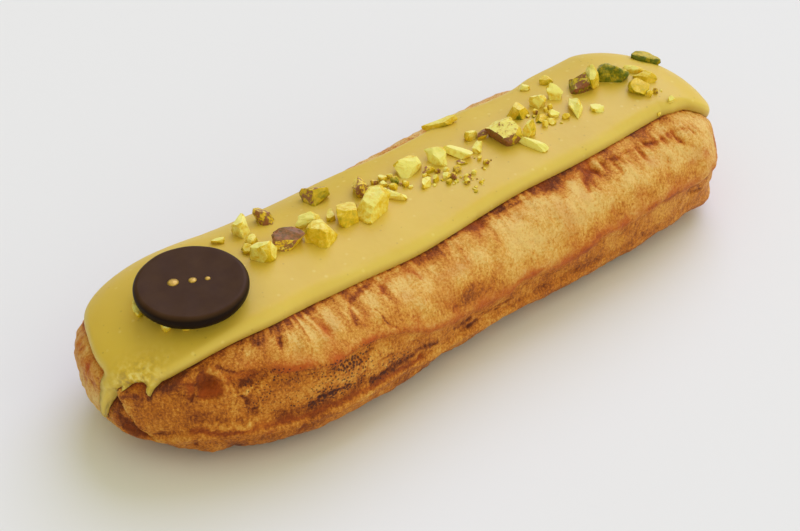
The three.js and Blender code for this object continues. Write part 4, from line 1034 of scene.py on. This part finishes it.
def crust_place(lap, climb):
    """Where places on the crust lie among its lines, how it is mottled there, and what marks it has."""
    at = SimpleNamespace(lap=np.mod(lap, 4), climb=climb)
    at.points = crust_points(at.lap, climb)
    # Nothing on a crust runs straight, so all its lines are looked up from places a little way off
    sway = mottle(at.points, 2.6, 61) + 0.6 * mottle(at.points, 0.9, 62)
    drift = mottle(at.points, 2.6, 63) + 0.6 * mottle(at.points, 0.9, 64)
    lap_near = at.lap + 0.35 * sway / mm_per_lap(at.lap)
    climb_near = climb + 0.35 * drift / MM_PER_DEGREE
    edge, ridge, crack = crust_lines(at.lap)
    at.below_edge = step(climb, ridge, ridge + 6) * (1 - step(climb, edge + 3, edge + 8))
    # Millimetres: under the icing, over the ridge, over the crack, along the crust and under the evened edge
    above_icing = (climb - icing_edge(at.lap)) * MM_PER_DEGREE
    at.under = np.maximum(-above_icing, 0)
    at.over_ridge = (climb_near - ridge) * MM_PER_DEGREE
    at.over_crack = (climb_near - crack) * MM_PER_DEGREE
    at.run = front_run(at.lap) + 0.35 * sway
    at.down = (edge - climb_near) * MM_PER_DEGREE
    at.on_bulge = step(at.over_ridge, -0.4, 0.8)
    at.on_band = (1 - at.on_bulge) * step(at.over_crack, -0.3, 0.5)
    at.shown = step(climb, BASE_EDGE_CLIMB, -50) * (1 - step(above_icing, 0, 1))
    at.fibre = mottle(stretched(at.lap, climb, 6), 0.75, 21)
    at.patch = mottle(at.points, 9, 5)
    at.small_patch = mottle(at.points, 2.8, 6)
    at.dent = folds(lap_near, climb_near, 0.7)
    at.valley = cheek(lap_near, climb_near)
    by_fold = (lap_near > 3.3) & (climb_near > -22) & (climb_near < 24)
    at.fold_rim = np.where(by_fold, bell(past_cheek(lap_near, climb_near) + 0.5, 0.7), 0)
    at.from_tear = crater_way(lap_near, climb_near)
    # Plates that the crust broke into left of the middle, and the seams between them
    nearest, second = cells_away(at.points, 3.4, 31)
    at.crag = bell(at.lap - 3.83, 0.06) * bell(climb - 24, 12)
    at.plate = 0.5 * np.clip(2.2 * mottle(at.points, 3.0, 33), -1, 1)
    at.plate_seams = (1 - step(second - nearest, 0, 0.22)) * at.crag
    # Pores in the recess of the disc end, and in a strip beside its drip
    at.pits = bell(cells_away(at.points, 1.9, 41)[0], 0.42)
    at.strip = bell(at.lap - 3.46, 0.05) * bell(climb - 12, 8)
    at.pore = np.clip(1.4 * at.valley + at.strip, 0, 1)
    # Long wrinkles in the band
    wave = mottle(stretched(at.lap, climb, 0.12), 1.6, 71)
    at.wrinkles = bell(wave, 0.09) * step(mottle(at.points, 5, 72), -0.1, 0.3) * at.on_band
    # The furrows are carved deeper and painted browner and redder inside, as painted shade
    furrows = [(*middle, 0.45, 1.6, -12, 0.25, 0.4, 0.3) for middle in FURROWS]
    marks = ovals((*CRUST_MARKS, *furrows, *marks_behind()), at.run, at.down)
    at.brown, at.red, at.deep = marks + strokes(CRUST_LINES, at.run, at.down)
    return at


def fine_relief(at, sizes):
    """What the crust's fine relief stands proud, in millimetres."""
    lumps = 0.4 * mottle(at.points, 6, 11) + 0.6 * mottle(at.points, 2.4, 12)
    lumps += 0.6 * mottle(at.points, 1.1, 13)
    proud = sizes.crust_roughness / MM * lumps + 0.1 * at.fibre * at.below_edge - at.deep
    proud += 0.25 * bell(at.over_ridge + 0.7, 0.6) * bell(at.lap - 0.75, 0.4)
    # The foot is a little fuller than the solid's, most at the plain end
    proud += (0.35 + 0.7 * bell(laps_apart(at.lap, 1.15), 0.25)) * (1 - step(at.climb, -34, -10))
    proud += 0.3 * at.crag * at.plate - 0.25 * at.plate_seams
    proud -= sizes.pore_depth / MM * at.pits * (at.pore - 0.6 * at.strip)
    proud -= 0.2 * at.wrinkles
    proud -= 0.3 * bell(at.from_tear, 0.9) - 0.1 * bell(at.from_tear - 1.5, 0.3)
    return proud * at.shown


def browning_and_shade(at):
    """How brown the crust is, from 0 to 1, with painted shade in its hollows and crack and under the icing's
    edge.
    """
    mottled = 0.8 + 0.6 * at.small_patch
    blotched = 0.9 + 0.6 * at.patch
    bake_and_shade = on_lap_line(BULGE_TONE, at.lap) * at.on_bulge + on_lap_line(BAND_TONE, at.lap) * (1 - at.on_bulge)
    bake_and_shade += 0.12 * at.patch + 0.14 * at.small_patch + 1.15 * at.brown * (0.85 + 0.4 * at.small_patch)
    bake_and_shade += on_lap_line(CARAMEL, at.lap) * bell(at.over_ridge - 2.2, 3.0) * at.on_bulge * blotched
    # Toasted under the icing, with strokes that run up and down, and a thin painted shadow just under the
    # icing's edge
    toast = on_lap_line(TOAST, at.lap) * bell(at.under, 2.0 + 1.4 * mottle(at.points, 3.6, 22))
    bake_and_shade += toast * (0.8 + 0.5 * at.fibre) + 0.3 * bell(at.under, 0.4)
    drawn = (0.12 + 0.25 * bell(laps_apart(at.lap, 0.05), 0.2)) * bell(at.under - 2, 4)
    bake_and_shade += drawn * at.fibre * at.below_edge
    # Along the ridge, the crack, whose darker line is painted shade under the foot's roll, and the foot
    bake_and_shade += 0.12 * on_lap_line(RIDGE_BLUSH, at.lap) * bell(at.over_ridge + 0.2, 0.6) * mottled
    bake_and_shade += 0.16 * on_lap_line(CRACK_OPEN, at.lap) * bell(at.over_crack, 0.4) * (0.6 + 0.7 * at.small_patch)
    bake_and_shade -= 0.15 * bell(at.over_ridge + 0.7, 0.6) * bell(at.lap - 0.75, 0.4)
    on_foot = 1 - step(at.over_crack, -0.6, 0)
    bake_and_shade -= 0.1 * bell(at.over_crack + 1.6, 0.9) * on_foot * (0.8 + 0.6 * at.patch)
    bake_and_shade -= 0.2 * bell(at.down - 19, 2.5) * bell(at.lap - 0.8, 0.35)
    bake_and_shade -= 0.16 * bell(at.down - 15.5, 2.5) * bell(laps_apart(at.lap, 0.08), 0.24)
    bake_and_shade += 0.25 * step(-at.climb, 38, 52)
    # Painted shade: browner in dents, wrinkles, seams between plates, the disc end's recess, its pores and
    # the tear; paler on the raised plates, the fold's rim and the tear's rim, partly their own paler crust
    # and partly painted highlight
    bake_and_shade += 0.4 * at.dent + 0.3 * at.wrinkles + 0.25 * at.plate_seams - 0.16 * at.crag * at.plate
    bake_and_shade += 0.3 * at.valley + 0.4 * at.pits * at.pore - 0.25 * at.fold_rim
    return bake_and_shade + 0.2 * bell(at.from_tear, 0.9) - 0.08 * bell(at.from_tear - 1.5, 0.3)


def reddening_and_shade(at):
    """How red the crust is, from 0 to 1, with painted shade in the tear, pores and dents."""
    blush_and_shade = on_lap_line(RIDGE_BLUSH, at.lap) * bell(at.over_ridge - 0.1, 1.1) * (0.8 + 0.6 * at.small_patch)
    # The tear, the pores and the dents are painted redder as shade
    blush_and_shade += at.red + 0.2 * bell(at.from_tear, 1.1) + 0.3 * at.pits * at.pore + 0.3 * at.dent
    blush_and_shade += 0.5 * np.maximum(mottle(at.points, 3.2, 81), 0) * at.on_bulge
    return 0.7 * blush_and_shade


def scorching(at):
    """How thick the scorched specks are, from 0 to 1: most on the band in front, and along its crack."""
    char = 0.03 + 0.1 * at.patch + 0.06 * bell(at.lap - 3.8, 0.2)
    char += 0.1 * bell(laps_apart(at.lap, 0.25), 0.35) * at.on_bulge
    char += 0.57 * bell(laps_apart(at.lap, 0), 0.17) * at.on_band * (0.9 + 0.4 * at.small_patch)
    for lap, down, amount, half_length, half_height in SCORCHED:
        char += amount * bell(laps_apart(at.lap, lap), half_length) * bell(at.down - down, half_height)
    return char


class ECLAIR_OT_icing(bpy.types.Operator):
    """Build the icing with its rounded edge, drip and tooth"""

    bl_idname = "eclair.icing"
    bl_label = "Build Icing"

    def execute(self, context):
        crown, rounding, under = ICING_RINGS.values()
        edge_ring = crown + rounding
        mesh, lap, ring = grid_rings(ICING_COLUMNS, edge_ring + under)
        shoulder = climb_at(lap, 1, EDGE_ROUNDING)
        way = np.clip((ring - crown) / (rounding - 1), 0, 1)
        below = shoulder + (icing_edge(lap) - shoulder) * np.sin(way * np.pi / 2)
        climb = np.where(ring <= crown, climb_at(lap, np.minimum(ring / crown, 1), EDGE_ROUNDING), below)
        # Past the edge the rings go back up under the icing, just inside the crust
        hidden = ring >= edge_ring
        back_up = np.clip((ring - edge_ring + 1) / (under + 1), 0, 1)
        climb = np.where(hidden, climb_at(lap, np.clip(1 - back_up, 0, 1)), climb)
        climb = np.where(ring == edge_ring + under, 90, climb)
        lift = np.where(hidden, -ICING_TUCK["under"], icing_lift(lap, climb) - GAP)
        lift = np.where(ring == edge_ring - 1, -ICING_TUCK["edge"], lift)
        points = crust_points(lap, climb)
        over_edge = climb - even_edge(lap) - CURD["over_edge"]
        curd = bell(lap - CURD["lap"], CURD["half_length"]) * bell(over_edge, CURD["half_height"])
        waves = mottle(points, 13, 51) + 0.4 * mottle(points, 5, 52)
        clots = mottle(points, 1.5, 53) + 0.7 * mottle(points, 0.8, 54)
        swell = waves * context.scene.eclair_sizes.icing_swell / MM + 0.3 * curd * clots
        lift = lift + swell * step(lift, 0.2, 1.2)
        inside = inside_edge(lap, climb)
        # The rim paints the edge darker, partly as painted shade
        rim = (1 - step(inside, 0, 1.2)) * (1 - 0.7 * curd)
        # The flank paints the steep side paler, as painted light
        looks = {"curd": curd, "rim": rim, "flank_painted_light": 1 - step(inside, 0.5, 5)}
        close_rings(mesh, crust_points(lap, climb, lift), looks)
        icing = add_piece("icing", mesh, pistachio_glaze(context.scene.eclair_colours))
        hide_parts("pistachio_icing")
        return {"FINISHED"}


class ECLAIR_OT_nuts(bpy.types.Operator):
    """Scatter the chopped pistachios and their crumbs along the icing"""

    bl_idname = "eclair.nuts"
    bl_label = "Scatter Nuts"

    def execute(self, context):
        icing = bpy.data.objects["icing"]
        top = BVHTree.FromObject(icing, context.evaluated_depsgraph_get())
        material = chopped_pistachio(context.scene.eclair_colours)
        scraps = list(NUTS)
        for x, y, length, width, turn in PROPS:
            scraps.append((x, y, length, width, prop_height(top, x, y), turn, "yellow"))
        crumbs = crumb_list(context.scene.eclair_sizes.fine_crumbs)
        for name, some, fineness in (("chopped_pistachios", scraps, 2), ("pistachio_crumbs", crumbs, 1)):
            piece = add_piece(name, nuts_mesh(top, some, fineness), material)
            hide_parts("pistachio_icing")
        return {"FINISHED"}


def icing_under(top, x, y):
    """The icing's point and normal under a place in plan, in millimetres."""
    point, normal, _, _ = top.ray_cast((Vector((x, y, 100)) + MOVED) * MM, Vector((0, 0, -1)))
    if point is None:
        raise RuntimeError(f"no icing under {x}, {y}")
    return point / MM - MOVED, normal


def prop_height(top, x, y):
    """The height of a scrap that reaches from the icing to just under the disc."""
    under = DISC_CENTRE.z + (x - DISC_CENTRE.x) * math.tan(math.radians(DISC_TILT)) - DISC_THICKNESS / 2
    return (under - GAP - icing_under(top, x, y)[0].z) / (1 - NUT_SINK["share"])


def crumb_list(fine_crumbs):
    """The crumbs that the solids have, then finer ones close to the row."""
    found = []
    wanted = 0
    seed = 1
    for heap_x, heap_y, spread, count in CRUMB_HEAPS:
        wanted += count
        while len(found) < wanted:
            x = heap_x + spread * (random_from(seed * 3) - 0.5)
            y = heap_y + spread * (random_from(seed * 3 + 1) - 0.5)
            size = CRUMBS["smallest"] + (CRUMBS["largest"] - CRUMBS["smallest"]) * random_from(seed * 3 + 0.5)
            scraps = (*NUTS, *found)
            if all(math.hypot(nut[0] - x, nut[1] - y) >= nut[2] / 2 + CRUMBS["clear"] for nut in scraps):
                kind = ("yellow", "cream", "golden", "tan")[seed % 4]
                tall = size + NUT_SINK["least"]
                found.append((x, y, size * 1.3, size, tall, 360 * random_from(seed), kind))
            seed += 1
    for seed in range(500, 500 + fine_crumbs):
        heap_x, heap_y, spread, _ = CRUMB_HEAPS[int(random_from(seed) * len(CRUMB_HEAPS))]
        x = heap_x + 1.3 * spread * (random_from(seed + 0.1) - 0.5)
        y = heap_y + 1.3 * spread * (random_from(seed + 0.2) - 0.5)
        size = 0.45 + 0.5 * random_from(seed + 0.3) ** 2
        kind = ("yellow", "cream", "golden", "green", "tan")[seed % 5]
        found.append((x, y, size * 1.3, size, size, 360 * random_from(seed + 0.4), kind))
    return found


def nuts_mesh(top, pieces, fineness):
    """One mesh of angular scraps, lying on the icing and a little sunk in it."""
    whole = bmesh.new()
    green_and_painted_light = whole.faces.layers.float.new("green_and_painted_light")
    skin = whole.faces.layers.float.new("skin")
    for seed, (x, y, length, width, height, turn, kind) in enumerate(pieces):
        green_cut, green_out, husk, cuts = NUT_LOOKS[kind]
        scrap, cut = cut_scrap(seed, cuts, fineness)
        hit, normal = icing_under(top, x, y)
        sink = min(max(height * NUT_SINK["share"], NUT_SINK["least"]), NUT_SINK["most"], height * 0.45)
        spot = Matrix.Translation((hit + Vector((0, 0, height / 2 - sink)) + MOVED) * MM)
        lying = Vector((0, 0, 1)).rotation_difference(normal).to_matrix().to_4x4()
        flat_turn = Matrix.Rotation(math.radians(turn), 4, "Z")
        tip = Matrix.Rotation(math.radians(12 * (random_from(seed + 1.3) - 0.5)), 4, "X")
        size = Matrix.Diagonal((length * MM, width * MM, height * MM, 1))
        side = Vector(SKIN_SIDES.get(kind, [random_from(seed * 1.7 + axis) - 0.3 for axis in range(3)]))
        vary = 0.2 * (random_from(seed + 0.9) - 0.5)
        lay = spot @ lying @ flat_turn @ tip @ size
        made = {vert: whole.verts.new(lay @ vert.co) for vert in scrap.verts}
        for face in scrap.faces:
            facing = (flat_turn @ face.normal).dot(side.normalized())
            copy = whole.faces.new([made[vert] for vert in face.verts])
            # Painted light: cut flesh is painted palest on faces that point up, towards the light, and golden
            # on its sides
            copy[green_and_painted_light] = vary + 0.12 - 0.3 * max(face.normal.z, 0) + (green_cut if face[cut] else green_out)
            copy[skin] = husk * min(max(0.35 + facing, 0), 1)
        scrap.free()
    bmesh.ops.recalc_face_normals(whole, faces=whole.faces)
    return mesh_from(whole, "nuts")


def cut_scrap(seed, cuts, fineness):
    """A ball one unit across, cut flat on some sides and softened, and the layer that marks its cut faces."""
    scrap = bmesh.new()
    cut = scrap.faces.layers.int.new("cut")
    bmesh.ops.create_icosphere(scrap, subdivisions=fineness, radius=0.6)
    spin = Matrix.Rotation(6.3 * random_from(seed + 0.61), 3, "Z")
    sides = [(1, 0, 0), (-1, 0, 0), (0, 0, 1), (0, 1, 0), (0, -1, 0), (0.6, 0.6, 0.6), (-0.5, 0.6, -0.6)]
    first = int(random_from(seed + 0.47) * 3)
    for i in range(cuts):
        tilt = Vector([random_from(seed * 7.3 + i * 3.1 + axis) - 0.5 for axis in range(3)])
        facing = (spin @ Vector(sides[(first + i) % len(sides)]) + 0.9 * tilt).normalized()
        bulk = [*scrap.verts, *scrap.edges, *scrap.faces]
        away = facing * (0.3 + 0.14 * random_from(seed + i * 0.7))
        sliced = bmesh.ops.bisect_plane(scrap, geom=bulk, plane_co=away, plane_no=facing, clear_outer=True)
        rim = [part for part in sliced["geom_cut"] if isinstance(part, bmesh.types.BMEdge)]
        for face in bmesh.ops.contextual_create(scrap, geom=rim)["faces"] if rim else ():
            face[cut] = 1
    bmesh.ops.triangulate(scrap, faces=scrap.faces)
    if fineness > 1:
        bmesh.ops.subdivide_edges(scrap, edges=scrap.edges, cuts=1, use_grid_fill=True)
        bmesh.ops.triangulate(scrap, faces=scrap.faces)
        every_way = {"use_axis_x": True, "use_axis_y": True, "use_axis_z": True}
        bmesh.ops.smooth_vert(scrap, verts=scrap.verts, factor=0.5, **every_way)
        for vert in scrap.verts:
            x, y, z = vert.co
            vert.co *= 1.07 + 0.1 * math.sin(x * 9 + seed) * math.sin(y * 11 + seed * 2) * math.sin(z * 8 + 1)
    scrap.normal_update()
    return scrap, cut


class ECLAIR_OT_disc(bpy.types.Operator):
    """Turn the chocolate disc and dab three gold dots on it"""

    bl_idname = "eclair.disc"
    bl_label = "Build Chocolate Disc"

    def execute(self, context):
        colours = context.scene.eclair_colours
        tilt = Matrix.Rotation(-math.radians(DISC_TILT), 4, "Y")
        lay = Matrix.Translation((DISC_CENTRE + MOVED) * MM) @ tilt
        bm = turned(disc_profile(), DISC_STEPS)
        # A cast disc is never quite flat
        for vert in bm.verts:
            vert.co.z += 0.04 * MM * math.sin(vert.co.x * 900 + 1) * math.sin(vert.co.y * 700)
        disc = finish_turned(bm, lay, "chocolate_button")
        button = add_piece("chocolate_button", disc, dark_chocolate(colours))
        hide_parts("chocolate_disc")
        dots = bmesh.new()
        top = DISC_THICKNESS / 2
        for x, y, radius in GOLD_DOTS:
            dot = [(0, top + 0.04), (radius * 0.6, top), (radius, top - 0.16), (0, top - 0.19)]
            dome = turned(dot, DOT_STEPS)
            bmesh.ops.transform(dome, matrix=Matrix.Translation(Vector((x, y, 0)) * MM), verts=dome.verts)
            made = mesh_from(dome, "dot")
            dots.from_mesh(made)
            bpy.data.meshes.remove(made)
        add_piece("gold_dots", finish_turned(dots, lay, "gold_dots"), gold_cocoa_butter(colours))
        return {"FINISHED"}


def disc_profile():
    """The disc's half section, from the middle of its top, over its rim, to the middle underneath."""
    half = DISC_THICKNESS / 2
    profile = [(0, half - 0.14), (DISC_RADIUS * 0.5, half - 0.14), (DISC_RADIUS * 0.78, half - 0.12)]
    for corner, side in ((DISC_ROUNDING - 0.1, 1), (DISC_ROUNDING + 1, -1)):
        for i in range(11):
            turn = math.pi / 2 * (i / 10 if side > 0 else 1 - i / 10)
            out = DISC_RADIUS - corner + corner * math.sin(turn)
            profile.append((out, side * (half - corner + corner * math.cos(turn))))
    return [*profile, (DISC_RADIUS * 0.5, -half), (0, -half)]


def turned(profile, steps):
    """A bmesh turned from a half section of (radius, height) pairs in millimetres."""
    bm = bmesh.new()
    verts = [bm.verts.new((radius * MM, 0, height * MM)) for radius, height in profile]
    section = [*verts, *[bm.edges.new(pair) for pair in zip(verts, verts[1:])]]
    about = {"cent": (0, 0, 0), "axis": (0, 0, 1), "angle": 2 * math.pi}
    bmesh.ops.spin(bm, geom=section, steps=steps, use_merge=True, **about)
    bmesh.ops.remove_doubles(bm, verts=bm.verts, dist=1e-7)
    return bm


def finish_turned(bm, lay, name):
    """Lays a turned shape in its place, faces out and smooth."""
    bmesh.ops.transform(bm, matrix=lay, verts=bm.verts)
    bmesh.ops.recalc_face_normals(bm, faces=bm.faces)
    mesh = mesh_from(bm, name)
    mesh.shade_smooth()
    return mesh


def studio():
    """A world of warm walls, brighter on one side."""
    world = bpy.data.worlds.new("studio")
    world.use_nodes = True
    add = partial(node, world.node_tree)
    facing = {0: add("TexCoord", out="Generated"), 1: BRIGHT_WALL}
    towards = add("VectorMath", facing, "Value", operation="DOT_PRODUCT")
    dark, bright = (AMBIENT * AMBIENT_SHARES[end] for end in ("dark", "bright"))
    walls = add("MapRange", {"Value": towards, "From Min": -1.0, "To Min": dark, "To Max": bright})
    plug(world.node_tree.nodes["Background"], {"Color": WALL_COLOUR, "Strength": walls})
    return world


def photo_camera():
    """A camera that sees the pastry as the photograph does."""
    turn, rise = math.radians(CAMERA_TURN), math.radians(CAMERA_HEIGHT)
    back = Vector((math.sin(turn) * math.cos(rise), -math.cos(turn) * math.cos(rise), math.sin(rise)))
    right = Vector((math.cos(turn), math.sin(turn), 0))
    up = back.cross(right)
    aim = Vector((0, 0, AIM["height"])) + right * AIM["right"] + up * AIM["up"] + MOVED
    view = bpy.data.cameras.new("camera")
    view.sensor_width = 36
    view.lens = LENS_IN_FRAME_PIXELS * view.sensor_width / PHOTO_WIDTH
    view.clip_end = 20
    camera = add_object("camera", view)
    camera.location = (aim + back * CAMERA_DISTANCE) * MM
    camera.rotation_euler = back.to_track_quat("Z", "Y").to_euler()
    return camera


class ECLAIR_OT_stage(bpy.types.Operator):
    """Lay the floor, hang the lights and set the camera"""

    bl_idname = "eclair.stage"
    bl_label = "Set Stage"

    def execute(self, context):
        scene = context.scene
        scene.view_settings.view_transform = "Standard"
        bm = bmesh.new()
        bmesh.ops.create_grid(bm, x_segments=1, y_segments=1, size=FLOOR_HALF_WIDTH)
        floor = add_object("floor", mesh_from(bm, "floor"))
        floor.data.materials.append(matt_white_board(scene.eclair_colours))
        scene.world = studio()
        key = bpy.data.lights.new("key", "SUN")
        key.energy = KEY_ENERGY
        key.color = KEY_COLOUR
        key.angle = math.radians(KEY_ANGLE)
        add_object("key", key).rotation_euler = Vector(KEY_FROM).to_track_quat("Z", "Y").to_euler()
        scene.camera = photo_camera()
        return {"FINISHED"}


class ECLAIR_PT_panel(bpy.types.Panel):
    """Lists the eclair's pieces, sizes and colours in the sidebar"""

    bl_label = "Pistachio Eclair"
    bl_idname = "ECLAIR_PT_panel"
    bl_space_type = "VIEW_3D"
    bl_region_type = "UI"
    bl_category = "Eclair"

    def draw(self, context):
        for piece in (ECLAIR_OT_crust, ECLAIR_OT_icing, ECLAIR_OT_nuts, ECLAIR_OT_disc, ECLAIR_OT_stage):
            self.layout.operator(piece.bl_idname)
        for group in (context.scene.eclair_sizes, context.scene.eclair_colours):
            for name in group.__annotations__:
                self.layout.prop(group, name)


CLASSES = (
    EclairColours,
    EclairSizes,
    ECLAIR_OT_crust,
    ECLAIR_OT_icing,
    ECLAIR_OT_nuts,
    ECLAIR_OT_disc,
    ECLAIR_OT_stage,
    ECLAIR_PT_panel,
)


def register():
    for cls in CLASSES:
        bpy.utils.register_class(cls)
    bpy.types.Scene.eclair_colours = PointerProperty(type=EclairColours)
    bpy.types.Scene.eclair_sizes = PointerProperty(type=EclairSizes)


def unregister():
    del bpy.types.Scene.eclair_sizes
    del bpy.types.Scene.eclair_colours
    for cls in reversed(CLASSES):
        bpy.utils.unregister_class(cls)


def main():
    register()
    bpy.ops.eclair.crust()
    bpy.ops.eclair.icing()
    bpy.ops.eclair.nuts()
    bpy.ops.eclair.disc()
    bpy.ops.eclair.stage()


if __name__ == "__main__":
    main()
